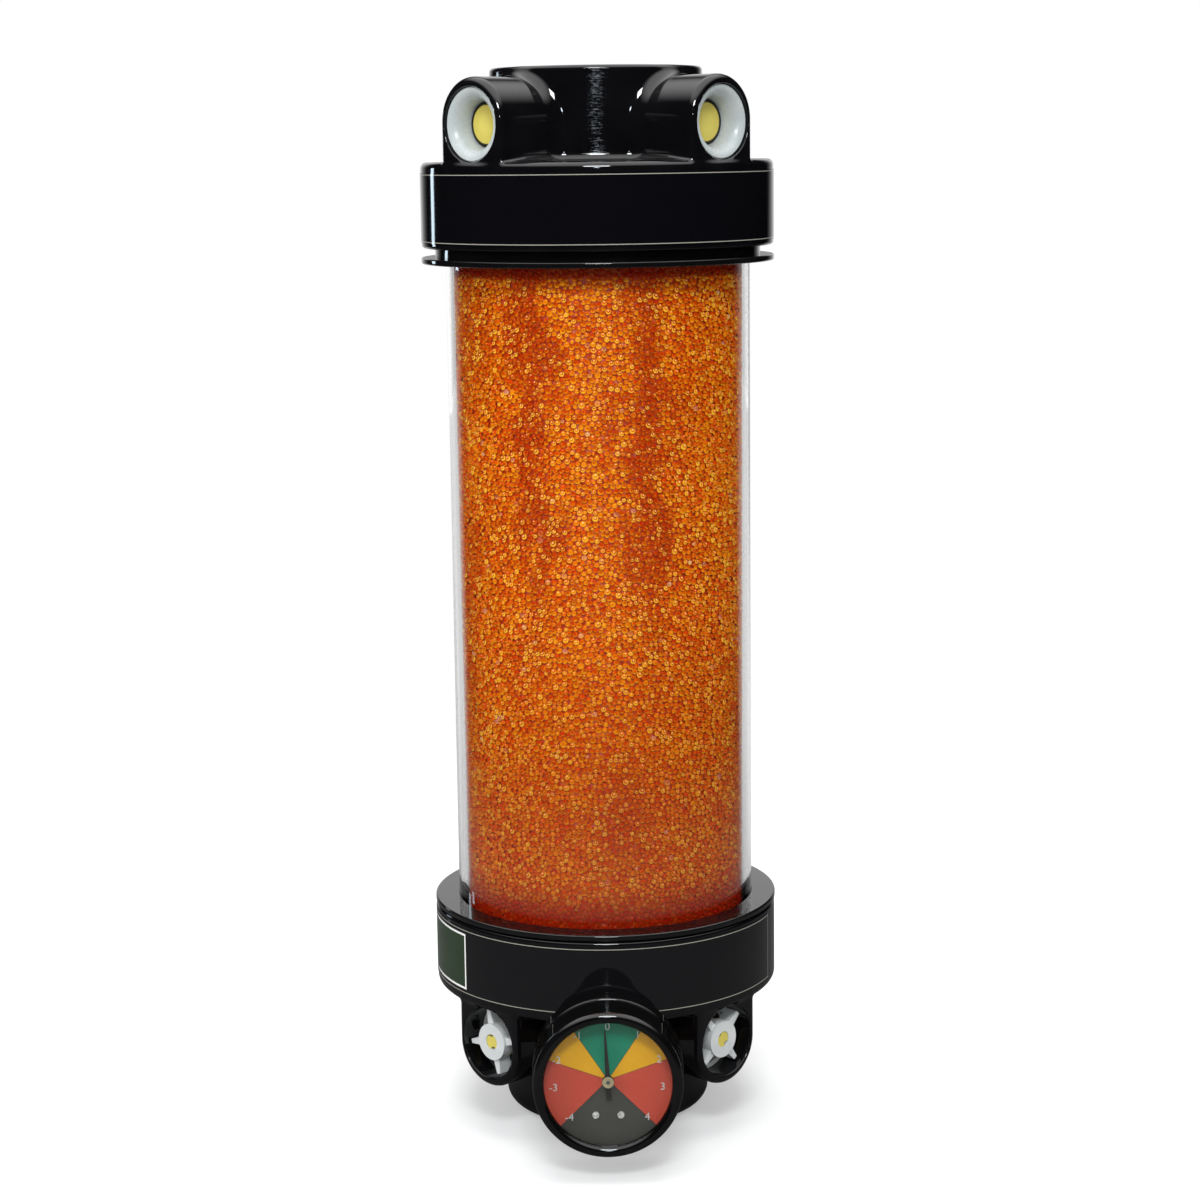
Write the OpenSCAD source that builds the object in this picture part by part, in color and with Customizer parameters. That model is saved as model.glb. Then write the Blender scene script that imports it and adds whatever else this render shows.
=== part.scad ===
// Silica gel breather: a clear tube of drying gel between two valved caps, with a gauge near the foot.
// Millimetres, +Z up. The origin is the centre of the tank port's mouth, and the gauge faces -Y.

/* [Tube and gel] */
// Outer diameter of the clear tube
tube_d = 127; // [110:1:180]
// Wall of the clear tube
tube_wall = 3.2; // [2:0.1:5]
// Length of the clear tube
tube_len = 305; // [150:1:600]
// Depth to which each end of the tube sits in its collar
tube_seat = 17; // [12:0.5:24]
// Thickness of each filter pad
pad_t = 6; // [3:0.5:8]
// Thickness of each perforated screen
screen_t = 2; // [1:0.25:3]
// Diameter of the holes in the screens
screen_hole_d = 7; // [3:0.5:8]
// Distance between the holes in the screens
screen_pitch = 12; // [11:0.5:18]
// Bare rim round the holes of a screen
screen_rim = 6; // [5:0.5:12]
// Clearance of the pads, the screens and the gel in the tube
bed_fit = 0.2; // [0.1:0.05:0.4]

/* [Collars] */
// Wall of a collar round the tube
collar_wall = 4.3; // [3.8:0.1:6]
// Thickness of a collar's flange
flange_t = 2.5; // [1.5:0.1:4]
// Distance by which a flange stands proud of the skirts
flange_proud = 0.3; // [0.1:0.05:1]
// Rounding of a flange's edges
flange_edge_r = 0.7; // [0.3:0.1:0.7]
// Thickness of the ledge that the end of the tube stands on
ledge_t = 5; // [3:0.5:8]
// Reach of that ledge inside the tube
ledge_w = 4; // [2:0.5:6]
// Glue gap between the tube and a collar
bond_gap = 0.1; // [0.05:0.05:0.3]
// Section of the seal ring on a collar
seal_d = 2.6; // [2:0.1:3]
// Room beside a seal ring in its groove
seal_room = 0.6; // [0.2:0.1:1]
// Radial room of a seal ring
seal_fit = 0.02; // [0.01:0.01:0.1]

/* [Caps] */
// Wall of a cap's skirt
skirt_wall = 5.3; // [4.5:0.1:8]
// Height of a cap's skirt
skirt_h = 35; // [32:0.5:45]
// Clearance between a skirt and the collar inside it
cap_fit = 0.15; // [0.1:0.05:0.3]
// Thickness of the deck between the skirt and the boss
deck_t = 5; // [4:0.5:7]
// Diameter of the central boss
boss_d = 88; // [80:1:96]
// Wall of the central boss
boss_wall = 6; // [4:0.5:8]
// Height of the top boss above the rim of its skirt
top_boss_h = 73; // [72:0.5:90]
// Thickness of the closed end of the top boss
top_floor_t = 5; // [3:0.5:6]
// Height of the bottom boss above the rim of its skirt
bottom_boss_h = 91.5; // [90:0.5:110]
// Gap between the top collar's flange and the top cap
top_gap = 4; // [0.5:0.1:5]
// Gap between the bottom collar's flange and the bottom cap
bottom_gap = 0.5; // [0.3:0.1:4]
// Rounding of a skirt's rim
rim_r = 1.2; // [0.5:0.1:2]
// Rounding of a skirt's edge at the deck
edge_r = 2.5; // [1:0.1:4]
// Rounding of the top boss's edge
top_edge_r = 1.6; // [0.5:0.1:4]
// Rounding of the bottom boss's edge
foot_edge_r = 7; // [2:0.5:9]
// Radius of the inside fillets between the boss, the ports and the deck
fillet_r = 3.5; // [1:0.1:4.5]

/* [Valve ports] */
// Height of the port axes above the rim of the skirt
port_h = 50; // [49:0.5:52]
// Bore of a valve port
port_bore_d = 30; // [28:0.5:31]
// Wall of a port beside its bore
port_wall = 2.8; // [2.2:0.1:3.4]
// Wall of a port over its bore
port_crown = 3.8; // [3.4:0.1:5]
// Distance of a port's face inside the outline of the skirt
port_setback = 1.85; // [1.5:0.05:4]
// Rounding of a port's outer edge
port_edge_r = 3.2; // [2.8:0.1:4]
// Diameter of the hole from a port into the boss
port_throat_d = 23; // [18:0.5:24]

/* [Check valves] */
// Length of a valve cartridge
valve_len = 22; // [20:0.5:23]
// Clearance between a cartridge and its bore
valve_fit = 0.15; // [0.1:0.05:0.3]
// Depth of an inlet valve's mouth behind the face of its port
inlet_recess = 1.2; // [0.5:0.1:3]
// Depth of an outlet valve's hub behind the face of its port
outlet_recess = 2.4; // [2:0.1:4]
// Length of a valve seat
seat_len = 9.5; // [8.5:0.25:10]
// Bore of a valve seat
seat_bore_d = 18.4; // [17:0.1:19]
// Flat lip round the mouth of a valve seat
seat_lip = 0.6; // [0.4:0.1:1.5]
// Straight length of a valve seat's bore
seat_land = 1.2; // [0.8:0.1:2]
// Place of the seal ring along a cartridge
valve_seal_at = 4.6; // [3.5:0.1:5]
// Section of a cartridge's seal ring
valve_seal_d = 1.8; // [1.4:0.1:2]
// Clearance of a poppet's nose in the seat
nose_fit = 0.4; // [0.3:0.05:0.6]
// Thickness of a poppet's nose
nose_t = 1.3; // [0.8:0.1:2]
// Width of a poppet's sealing rim outside the seat's bore
poppet_rim_w = 1.6; // [1:0.1:2]
// Thickness of a poppet's sealing rim
poppet_rim_t = 1.8; // [1:0.1:2.2]
// Gap between a closed poppet and its seat
poppet_gap = 0.05; // [0.03:0.01:0.1]
// Diameter of a poppet's stem
stem_d = 6.5; // [5:0.1:7]
// Running clearance of a stem in its guide
stem_fit = 0.08; // [0.04:0.01:0.1]
// Distance of a stem's tip behind the hub's face
stem_short = 0.4; // [0:0.1:1]
// Radius of the two hollows that waist a stem's tip
waist_r = 1.6; // [1:0.1:2.5]
// Depth of those hollows
waist_depth = 1.2; // [0.5:0.1:1.6]
// Travel of a poppet
poppet_travel = 2.5; // [1.5:0.1:2.5]
// Wall of a guide's ring
guide_wall = 2; // [1.2:0.1:2.3]
// Length of a guide's ring
guide_ring_len = 3.4; // [2:0.1:4]
// Diameter of a guide's hub
hub_d = 15.6; // [13:0.1:17]
// Length of a guide's hub
hub_len = 5.4; // [4:0.1:5.5]
// Distance by which the hub stands proud of its fins
hub_proud = 1.2; // [0.5:0.1:2]
// Number of fins on a guide
fin_count = 4; // [3:1:6]
// Thickness of a fin at the hub
fin_root_t = 4.4; // [2:0.1:5]
// Thickness of a fin at its tip
fin_tip_t = 1.8; // [1:0.1:3]
// Clearance between a guide and the poppet inside it
guide_fit = 0.8; // [0.5:0.1:1]
// Wire of a valve spring
spring_wire = 0.6; // [0.4:0.05:0.7]
// Clearance between a valve spring and the stem
spring_fit = 0.9; // [0.5:0.1:1.2]
// Turns of a valve spring
spring_turns = 3; // [2:0.5:3]

/* [Tank port] */
// Bore of the tank port's plain thread
tank_bore_d = 30.2; // [20:0.1:48]
// Length of the tank port's thread
tank_thread_len = 24; // [16:0.5:24]

/* [Labels] */
// Thickness of a label
label_t = 0.15; // [0.1:0.05:0.3]
// Height of a label
label_h = 28.6; // [20:0.1:29]
// Distance from the rim of the skirt to a label
label_at = 2.2; // [1.5:0.1:3]
// Turn of the bottom label's seam from the right-hand side towards the front
bottom_seam = 20; // [0:1:60]
// Angle round the skirt that a label covers
label_sweep = 330; // [180:1:350]
// Glue gap under a label
label_gap = 0.1; // [0.05:0.05:0.3]

/* [Gauge] */
// Diameter of the gauge's case
case_d = 59.2; // [50:0.1:62]
// Wall of the gauge's case
case_wall = 1.6; // [1.2:0.1:2.5]
// Thickness of the case's back
case_back_t = 2; // [1.5:0.1:3]
// Depth of the case
case_len = 23.6; // [20:0.1:28]
// Rounding of the case's back edge
case_edge_r = 2; // [1:0.1:4]
// Length of the wide band round the back of the case
band_len = 11; // [8:0.5:14]
// Distance by which the band stands proud of the bezel
band_proud = 0.5; // [0.2:0.1:1]
// Rounding of the band's front edge
band_edge_r = 0.8; // [0.4:0.1:1.2]
// Gap between the bottom label and the back of the case
case_gap = 2.4; // [1:0.1:6]
// Width of the ledge that carries the dial
dial_ledge_w = 1.8; // [1:0.1:3]
// Distance of the dial behind the front of the case
dial_sink = 4; // [3.8:0.1:6]
// Thickness of the dial
dial_t = 0.8; // [0.5:0.1:1.2]
// Clearance of the dial, lens and gasket at their edges
gauge_fit = 0.2; // [0.1:0.05:0.3]
// Wall of the bezel outside the case
bezel_wall = 0.6; // [0.5:0.1:2]
// Width of the bezel's rounded lip
lip_w = 4.65; // [4:0.05:6]
// Straight length of the lip behind its rounding
lip_t = 0.3; // [0.2:0.1:2]
// Thickness of the lens
lens_t = 1.8; // [1.5:0.1:3]
// Thickness of the gasket under the lens
gasket_t = 0.8; // [0.6:0.1:2]
// Width of the gasket under the lens
gasket_w = 2.2; // [1.6:0.1:3]
// Length of the needle from its axis to its tip
needle_len = 21.5; // [15:0.5:24]
// Width of the needle at its hub
needle_w = 2.2; // [1.5:0.1:4]
// Width of the needle at its tip
needle_tip_w = 0.6; // [0.4:0.1:1]
// Thickness of the needle
needle_t = 0.5; // [0.3:0.1:0.8]
// Length of the needle's tail
tail_len = 8; // [5:0.5:10]
// Angle by which the resting needle leans to the left of the top of the dial
needle_lean = 3; // [0:0.5:10]
// Diameter of the needle's hub
needle_hub_d = 4.8; // [3:0.1:6]
// Thickness of the needle's hub
needle_hub_t = 2.2; // [1:0.1:2.3]
// Distance between the dial and the needle's hub
needle_gap = 1.2; // [0.8:0.1:1.4]
// Diameter of the arbor
arbor_d = 1.6; // [1:0.1:2]
// Running clearance of the arbor in the movement
arbor_fit = 0.05; // [0.02:0.01:0.1]
// Clearance of the needle's hub on the arbor
needle_fit = 0.02; // [0.01:0.01:0.05]
// Clearance of the arbor in the dial's hole
dial_hole_fit = 0.7; // [0.5:0.1:1]
// Height of the dial screws below the arbor
screw_drop = 14.7; // [11:0.1:16]
// Distance between the dial screws
screw_pitch = 10.2; // [9:0.1:12]
// Head diameter of a dial screw
screw_head_d = 2.8; // [2:0.1:3.2]
// Head thickness of a dial screw
screw_head_t = 0.7; // [0.4:0.1:1]
// Shank diameter of a dial screw
screw_d = 1.6; // [1:0.1:1.8]
// Clearance of a dial screw's shank in its post
screw_fit = 0.05; // [0.02:0.01:0.1]
// Diameter of the posts under the dial screws
post_d = 3.4; // [3:0.1:4]

/* [Gauge socket] */
// Diameter of the socket's plain thread
thread_d = 13; // [10:0.1:14]
// Clearance of that thread in the cap
thread_fit = 0.1; // [0.05:0.05:0.2]
// Length of that thread
thread_len = 12; // [8:0.5:13]
// Diameter of the pad that takes the gauge on the bottom cap
pad_d = 24; // [20:0.5:25]
// Distance by which the pad stands out of the boss
pad_proud = 10; // [6:0.5:14]
// Width of the socket's hexagon across its flats
hex_af = 14; // [13:0.5:17]
// Diameter of the socket's shank in the back of the case
shank_d = 11; // [9:0.5:12]
// Bore of the socket
socket_bore_d = 3.2; // [2:0.1:4]
// Width of the block inside the case
block_w = 10; // [8:0.5:11]
// Thickness of the block inside the case
block_t = 3.4; // [2.5:0.1:4]
// Distance of the block's lower end below the arbor
block_drop = 21.5; // [20:0.5:22]
// Distance of the block's upper end above the arbor
block_rise = 6; // [5.5:0.5:8]
// Radius of the bourdon tube's curve
bourdon_r = 19.5; // [17:0.5:20]
// Thickness of the bourdon tube
bourdon_t = 2; // [1.2:0.1:2.4]
// Width of the bourdon tube
bourdon_w = 4.4; // [3:0.1:5]
// Angle that the bourdon tube covers
bourdon_sweep = 250; // [180:1:260]
// Gap between the bourdon tube and the block that feeds it
bourdon_gap = 0.2; // [0.1:0.05:0.3]
// Thickness of the movement's plate
plate_t = 1; // [0.6:0.1:1.5]
// Diameter of the movement's plate
plate_d = 20; // [16:0.5:22]
// Distance between the movement's plate and the dial
plate_gap = 1; // [0.5:0.1:1.5]

/* [Hidden] */
$fn = 64;

CORNERS = ["front_left", "front_right", "back_left", "back_right"];
CORNER_ANGLE = [-135, -45, 135, 45];
FRONT = 270;
// Turn of each outlet guide's fins about its port
OUTLET_TURN = [12, 40, 20, 30];
VALVE_KINDS = ["seat", "guide", "poppet", "spring"];

// Tube, collars and skirts, from the inside out
tube_r = tube_d / 2;
tube_in_r = tube_r - tube_wall;
bed_r = tube_in_r - bed_fit;
socket_r = tube_r + bond_gap;
collar_r = socket_r + collar_wall;
skirt_in_r = collar_r + cap_fit;
skirt_r = skirt_in_r + skirt_wall;
flange_r = skirt_r + flange_proud;
collar_len = tube_seat + ledge_t;
seal_at = (flange_t + top_gap + collar_len) / 2;

// Levels along the axis
low_rim_z = bottom_boss_h;
gauge_z = low_rim_z - port_h;
low_face_z = low_rim_z + bottom_gap + flange_t;
low_end_z = low_face_z - tube_seat;
high_end_z = low_end_z + tube_len;
high_face_z = high_end_z - tube_seat;
high_rim_z = high_face_z + flange_t + top_gap;

// Caps and ports
boss_r = boss_d / 2;
cavity_r = boss_r - boss_wall;
port_bore_r = port_bore_d / 2;
arch_r = port_bore_r + port_wall;
arch_z = port_h + port_crown - port_wall;
port_face = skirt_r - port_setback;
throat_start = cavity_r / 2;
// Depth of a port's walls in the deck, as a share of the deck's thickness
root_share = 0.6;
root_t = deck_t * root_share;
// Depth by which the edges of a fillet are sunk in the faces that it joins
fillet_sink = 0.05;
fillet_away = fillet_r - fillet_sink;
overlap = 1;

// Valve cartridges, measured along the flow from the mouth
valve_r = port_bore_r - valve_fit;
fin_end = valve_len - hub_proud;
hub_start = valve_len - hub_len;
seat_bore_r = seat_bore_d / 2;
nose_r = seat_bore_r - nose_fit;
poppet_r = seat_bore_r + poppet_rim_w;
rim_start = seat_len + poppet_gap;
rim_end = rim_start + poppet_rim_t;
stem_r = stem_d / 2;
fin_clear_r = poppet_r + guide_fit;
fin_clear_end = min(rim_end + poppet_travel + guide_fit, hub_start + hub_len / 2);
spring_r = stem_r + spring_fit + spring_wire / 2;
spring_clear_r = spring_r + spring_wire / 2 + spring_fit;
inlet_mouth = port_face - inlet_recess;
inlet_shoulder = inlet_mouth - fin_end;
outlet_mouth = port_face - outlet_recess - valve_len;
valve_seal_r = port_bore_r - seal_fit - valve_seal_d / 2;

// Gauge, measured from the axis of the breather towards the front
case_r = case_d / 2;
case_back = skirt_r + label_gap + label_t + case_gap;
case_front = case_back + case_len;
case_in_r = case_r - case_wall;
ledge_r = case_in_r - dial_ledge_w;
dial_back = case_front - dial_sink;
dial_front = dial_back + dial_t;
gasket_front = case_front + gasket_t;
lens_front = gasket_front + lens_t;
bezel_in_r = case_r + gauge_fit;
bezel_r = bezel_in_r + bezel_wall;
band_r = bezel_r + band_proud;
band_end = case_back + band_len;
bezel_back = band_end + gauge_fit;
lip_r = lip_w / 2;
lip_in_r = bezel_r - lip_w;
lip_back = lens_front + gauge_fit;
crest = lip_back + lip_t;
pad_face = boss_r + pad_proud;
inside_back = case_back + case_back_t;
block_front = inside_back + block_t;
plate_front = dial_back - plate_gap;
plate_back = plate_front - plate_t;
hub_back = dial_front + needle_gap;
hub_front = hub_back + needle_hub_t;
bourdon_start = asin((block_w / 2 + bourdon_gap) / (bourdon_r - bourdon_t / 2)) - 90;
bourdon_back = inside_back + bourdon_gap;

// Points along an arc, from one angle to another
function arc(centre, r, from, to, steps = 6) =
    [for (i = [0 : steps]) let (a = from + (to - from) * i / steps) centre + r * [cos(a), sin(a)]];

module ring(outer_r, inner_r, h) {
    difference() {
        cylinder(r = outer_r, h = h);
        translate([0, 0, -overlap]) cylinder(r = inner_r, h = h + 2 * overlap);
    }
}

// Frames: a cap's own frame starts at its rim and grows towards its boss
module top_frame() { translate([0, 0, high_rim_z]) children(); }
module bottom_frame() { translate([0, 0, low_rim_z]) rotate([180, 0, 0]) children(); }

// A valve's own frame starts at its mouth and grows along the flow
module inlet_frame(i) {
    top_frame() rotate([0, 0, CORNER_ANGLE[i]]) translate([inlet_mouth, 0, port_h])
        rotate([0, -90, 0]) children();
}
module outlet_frame(i) {
    bottom_frame() rotate([0, 0, -CORNER_ANGLE[i]]) translate([outlet_mouth, 0, port_h])
        rotate([0, 90, 0]) rotate([0, 0, OUTLET_TURN[i]]) children();
}

// The gauge's own frame starts on the axis of the breather and grows towards the front
module gauge_frame() { translate([0, 0, gauge_z]) rotate([90, 0, 0]) children(); }

// Outline of a cap from its rim to the end of its boss
function cap_outline(boss_h, boss_edge_r) = concat(
    [[0, 0]],
    arc([skirt_r - rim_r, rim_r], rim_r, -90, 0),
    arc([skirt_r - edge_r, skirt_h - edge_r], edge_r, 0, 90),
    arc([boss_r + fillet_r, skirt_h + fillet_r], fillet_r, -90, -180),
    arc([boss_r - boss_edge_r, boss_h - boss_edge_r], boss_edge_r, 0, 90),
    [[0, boss_h]]
);

// Half of a port's plan, with its rounded outer edge
function port_side() = concat(
    [[0, cavity_r], [arch_r, cavity_r]],
    arc([arch_r - port_edge_r, port_face - port_edge_r], port_edge_r, 0, 90),
    [[0, port_face]]
);

// Fillet between the side of a port and the deck
module port_foot_fillet() {
    foot = arch_r + fillet_away;
    reach = sqrt(pow(skirt_r - edge_r - overlap, 2) - pow(foot, 2));
    translate([cavity_r, 0, 0]) rotate([90, 0, 90]) linear_extrude(reach - cavity_r) polygon(concat(
        [[arch_r - overlap, skirt_h - overlap], [foot, skirt_h - overlap]],
        arc([foot, skirt_h + fillet_away], fillet_r, -90, -180),
        [[arch_r - overlap, skirt_h + fillet_away]]
    ));
}

// Upright fillet between the side of a port and the boss
module port_root_fillet() {
    side = arch_r + fillet_away;
    centre = [sqrt(pow(boss_r + fillet_away, 2) - pow(side, 2)), side];
    inward = atan2(centre[1], centre[0]) + 180;
    translate([0, 0, skirt_h - overlap]) linear_extrude(arch_z - skirt_h + overlap) polygon(concat(
        [[cavity_r, arch_r - overlap], [centre[0], arch_r - overlap]],
        arc(centre, fillet_r, 270, inward),
        [(boss_r - overlap) * [cos(inward - 180), sin(inward - 180)]]
    ));
}

// Arched tunnel of one port, along +X
module port_arch() {
    translate([0, 0, arch_z]) rotate([90, 0, 90]) rotate_extrude(angle = 180) polygon(port_side());
    translate([0, 0, skirt_h - root_t]) linear_extrude(arch_z - skirt_h + root_t) for (side = [0, 1])
        mirror([0, side, 0]) polygon([for (p = port_side()) [p[1], p[0]]]);
    for (side = [0, 1]) mirror([0, side, 0]) {
        port_foot_fillet();
        port_root_fillet();
    }
}

// A cap's outside, with its four ports
module cap_solid(boss_h, boss_edge_r) {
    rotate_extrude() polygon(cap_outline(boss_h, boss_edge_r));
    for (a = CORNER_ANGLE) rotate([0, 0, a]) port_arch();
}

// What a cap is hollowed out by: its skirt, its boss and its ports
module cap_hollow(cavity_top, shoulder) {
    translate([0, 0, -overlap]) cylinder(r = skirt_in_r, h = skirt_h - deck_t + overlap);
    cylinder(r = cavity_r, h = cavity_top);
    for (a = CORNER_ANGLE) rotate([0, 0, a]) translate([0, 0, port_h]) rotate([0, 90, 0]) {
        translate([0, 0, shoulder]) cylinder(d = port_bore_d, h = port_face - shoulder + overlap);
        translate([0, 0, throat_start])
            cylinder(d = port_throat_d, h = shoulder - throat_start + overlap);
    }
}

module top_cap() {
    color("#101012") top_frame() difference() {
        cap_solid(top_boss_h, top_edge_r);
        cap_hollow(top_boss_h - top_floor_t, inlet_shoulder);
    }
}

// Seat of the gauge on the bottom boss, along +Y of the cap's own frame
module gauge_pad(d, from, to) {
    translate([0, 0, port_h]) rotate([-90, 0, 0]) translate([0, 0, from])
        cylinder(d = d, h = to - from);
}

module bottom_cap() {
    color("#101012") bottom_frame() difference() {
        union() {
            cap_solid(bottom_boss_h, foot_edge_r);
            gauge_pad(pad_d, cavity_r, pad_face);
        }
        cap_hollow(bottom_boss_h - tank_thread_len, outlet_mouth);
        cylinder(d = tank_bore_d, h = bottom_boss_h + overlap);
        gauge_pad(thread_d + 2 * thread_fit, throat_start, pad_face + overlap);
    }
}

// A collar's own frame starts at the visible face of its flange and grows into its cap
module collar() {
    groove_r = skirt_in_r - seal_d - 2 * seal_fit;
    groove_w = seal_d + seal_room;
    difference() {
        rotate_extrude() polygon(concat(
            [[0, 0]],
            arc([flange_r - flange_edge_r, flange_edge_r], flange_edge_r, -90, 0),
            arc([flange_r - flange_edge_r, flange_t - flange_edge_r], flange_edge_r, 0, 90),
            [[collar_r, flange_t], [collar_r, collar_len], [0, collar_len]]
        ));
        translate([0, 0, -overlap]) cylinder(r = socket_r, h = tube_seat + overlap);
        translate([0, 0, -overlap]) cylinder(r = tube_in_r - ledge_w, h = collar_len + 2 * overlap);
        translate([0, 0, seal_at - groove_w / 2]) ring(collar_r + overlap, groove_r, groove_w);
    }
}

module seal_ring() {
    translate([0, 0, seal_at]) rotate_extrude() translate([skirt_in_r - seal_fit - seal_d / 2, 0])
        circle(d = seal_d);
}

module high_collar_frame() { translate([0, 0, high_face_z]) children(); }
module low_collar_frame() { translate([0, 0, low_face_z]) rotate([180, 0, 0]) children(); }

module top_collar() { color("#141416") high_collar_frame() collar(); }
module bottom_collar() { color("#141416") low_collar_frame() collar(); }
module top_seal_ring() { color("#202020") high_collar_frame() seal_ring(); }
module bottom_seal_ring() { color("#202020") low_collar_frame() seal_ring(); }

module tube() {
    color("#e8eef2", 0.35) translate([0, 0, low_end_z]) ring(tube_r, tube_in_r, tube_len);
}

module silica_gel() {
    bed_start = low_end_z + screen_t + pad_t;
    bed_end = high_end_z - screen_t - pad_t;
    color("#d9741f") translate([0, 0, bed_start]) cylinder(r = bed_r, h = bed_end - bed_start);
}

module pad() { color("#e9e9e4") cylinder(r = bed_r, h = pad_t); }
module lower_pad() { translate([0, 0, low_end_z + screen_t]) pad(); }
module upper_pad() { translate([0, 0, high_end_z - screen_t - pad_t]) pad(); }

// Disc with a field of holes in rows that are set off by half a pitch
module screen() {
    row_pitch = screen_pitch * sqrt(3) / 2;
    rows = ceil(bed_r / row_pitch);
    columns = ceil(bed_r / screen_pitch) + 1;
    field_r = bed_r - screen_rim - screen_hole_d / 2;
    color("#b9bcbe") difference() {
        cylinder(r = bed_r, h = screen_t);
        for (row = [-rows : rows], column = [-columns : columns]) {
            x = (column + (row % 2 == 0 ? 0 : 1 / 2)) * screen_pitch;
            y = row * row_pitch;
            if (norm([x, y]) < field_r)
                translate([x, y, -overlap]) cylinder(d = screen_hole_d, h = screen_t + 2 * overlap);
        }
    }
}
module lower_screen() { translate([0, 0, low_end_z]) screen(); }
module upper_screen() { translate([0, 0, high_end_z - screen_t]) screen(); }

// Band round a skirt, open at its seam
module label(seam_end) {
    color("#1c1c1f") rotate([0, 0, seam_end]) rotate_extrude(angle = label_sweep)
        translate([skirt_r + label_gap, label_at]) square([label_t, label_h]);
}
module top_label() { top_frame() label(FRONT - label_sweep / 2); }
module bottom_label() { bottom_frame() label(bottom_seam); }

// Bell-mouthed seat of a check valve
module seat() {
    mouth_r = valve_r - seat_lip;
    bell_len = seat_len - seat_land;
    groove_r = valve_seal_r - valve_seal_d / 2 - seal_fit;
    groove_w = valve_seal_d + seal_room;
    bell = [for (p = arc([0, 0], 1, 90, 0, 8))
        [seat_bore_r + (mouth_r - seat_bore_r) * (1 - p[0]), bell_len * (1 - p[1])]];
    color("#e6eaee") difference() {
        rotate_extrude() polygon(concat(
            bell,
            [[seat_bore_r, seat_len], [valve_r, seat_len], [valve_r, seat_lip]]
        ));
        translate([0, 0, valve_seal_at - groove_w / 2]) ring(valve_r + overlap, groove_r, groove_w);
    }
}

module valve_seal() {
    translate([0, 0, valve_seal_at]) rotate_extrude() translate([valve_seal_r, 0]) circle(d = valve_seal_d);
}

// Finned guide that carries the stem in its hub
module guide() {
    fin_r = valve_r - guide_wall / 2;
    color("#e3e7ea") difference() {
        union() {
            translate([0, 0, seat_len]) ring(valve_r, valve_r - guide_wall, guide_ring_len);
            translate([0, 0, hub_start]) cylinder(d = hub_d, h = hub_len);
            difference() {
                for (i = [0 : fin_count - 1]) rotate([0, 0, i * 360 / fin_count])
                    translate([0, 0, seat_len + guide_ring_len / 2])
                        linear_extrude(fin_end - seat_len - guide_ring_len / 2) polygon([
                            [stem_r + overlap, -fin_root_t / 2], [fin_r, -fin_tip_t / 2],
                            [fin_r, fin_tip_t / 2], [stem_r + overlap, fin_root_t / 2]
                        ]);
                cylinder(r = fin_clear_r, h = fin_clear_end);
                cylinder(r = spring_clear_r, h = hub_start + overlap);
            }
        }
        translate([0, 0, hub_start - overlap]) cylinder(r = stem_r + stem_fit, h = hub_len + 2 * overlap);
    }
}

// Poppet with its nose in the seat and a waisted tip on its stem
module poppet() {
    tip = valve_len - stem_short;
    color("#dccf72") difference() {
        union() {
            translate([0, 0, rim_start - nose_t]) cylinder(r = nose_r, h = nose_t + poppet_rim_t / 2);
            translate([0, 0, rim_start]) cylinder(r = poppet_r, h = poppet_rim_t);
            translate([0, 0, rim_end - overlap]) cylinder(r = stem_r, h = tip - rim_end + overlap);
        }
        for (side = [-1, 1]) translate([side * (stem_r + waist_r - waist_depth), 0, tip - hub_len / 2])
            cylinder(r = waist_r, h = hub_len);
    }
}

// Closing spring between a poppet's rim and its guide's hub, as one swept tube
module valve_spring() {
    sides = 6;
    turn_steps = 12;
    rings = spring_turns * turn_steps;
    wire_r = spring_wire / 2;
    start = rim_end + poppet_gap + wire_r;
    rise = hub_start - poppet_gap - wire_r - start;
    points = [for (i = [0 : rings], k = [0 : sides - 1])
        let (turn = 360 * spring_turns * i / rings, out = spring_r + wire_r * cos(360 * k / sides))
        [out * cos(turn), out * sin(turn), start + rise * i / rings + wire_r * sin(360 * k / sides)]];
    skin = [for (i = [0 : rings - 1], k = [0 : sides - 1])
        let (a = i * sides + k, b = i * sides + (k + 1) % sides)
        each [[a, b, b + sides], [a, b + sides, a + sides]]];
    first_end = [for (k = [1 : sides - 2]) [0, k + 1, k]];
    last = rings * sides;
    last_end = [for (k = [1 : sides - 2]) [last, last + k, last + k + 1]];
    color("#b8babd") polyhedron(points, concat(skin, first_end, last_end));
}

module valve_seal_rings() {
    color("#202020") for (i = [0 : 3]) {
        inlet_frame(i) valve_seal();
        outlet_frame(i) valve_seal();
    }
}

module valve_piece(kind) {
    if (kind == "seat") seat();
    if (kind == "guide") guide();
    if (kind == "poppet") poppet();
    if (kind == "spring") valve_spring();
}

// Socket of the gauge: thread, hexagon, shank and the block that feeds the bourdon tube
module gauge_socket() {
    color("#c9a24a") gauge_frame() difference() {
        union() {
            translate([0, 0, pad_face - thread_len]) cylinder(d = thread_d, h = thread_len + overlap);
            translate([0, 0, pad_face]) cylinder(d = hex_af / cos(30), h = case_back - pad_face, $fn = 6);
            translate([0, 0, case_back - overlap]) cylinder(d = shank_d, h = case_back_t + 2 * overlap);
            translate([-block_w / 2, -block_drop, inside_back])
                cube([block_w, block_drop + block_rise, block_t]);
            for (side = [-1, 1]) translate([side * screw_pitch / 2, -screw_drop, inside_back])
                cylinder(d = post_d, h = dial_back - inside_back);
        }
        translate([0, 0, pad_face - thread_len - overlap])
            cylinder(d = socket_bore_d, h = block_front - block_t / 2 - pad_face + thread_len + overlap);
        for (side = [-1, 1]) translate([side * screw_pitch / 2, -screw_drop, block_front])
            cylinder(d = screw_d, h = dial_front - block_front);
    }
}

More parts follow.
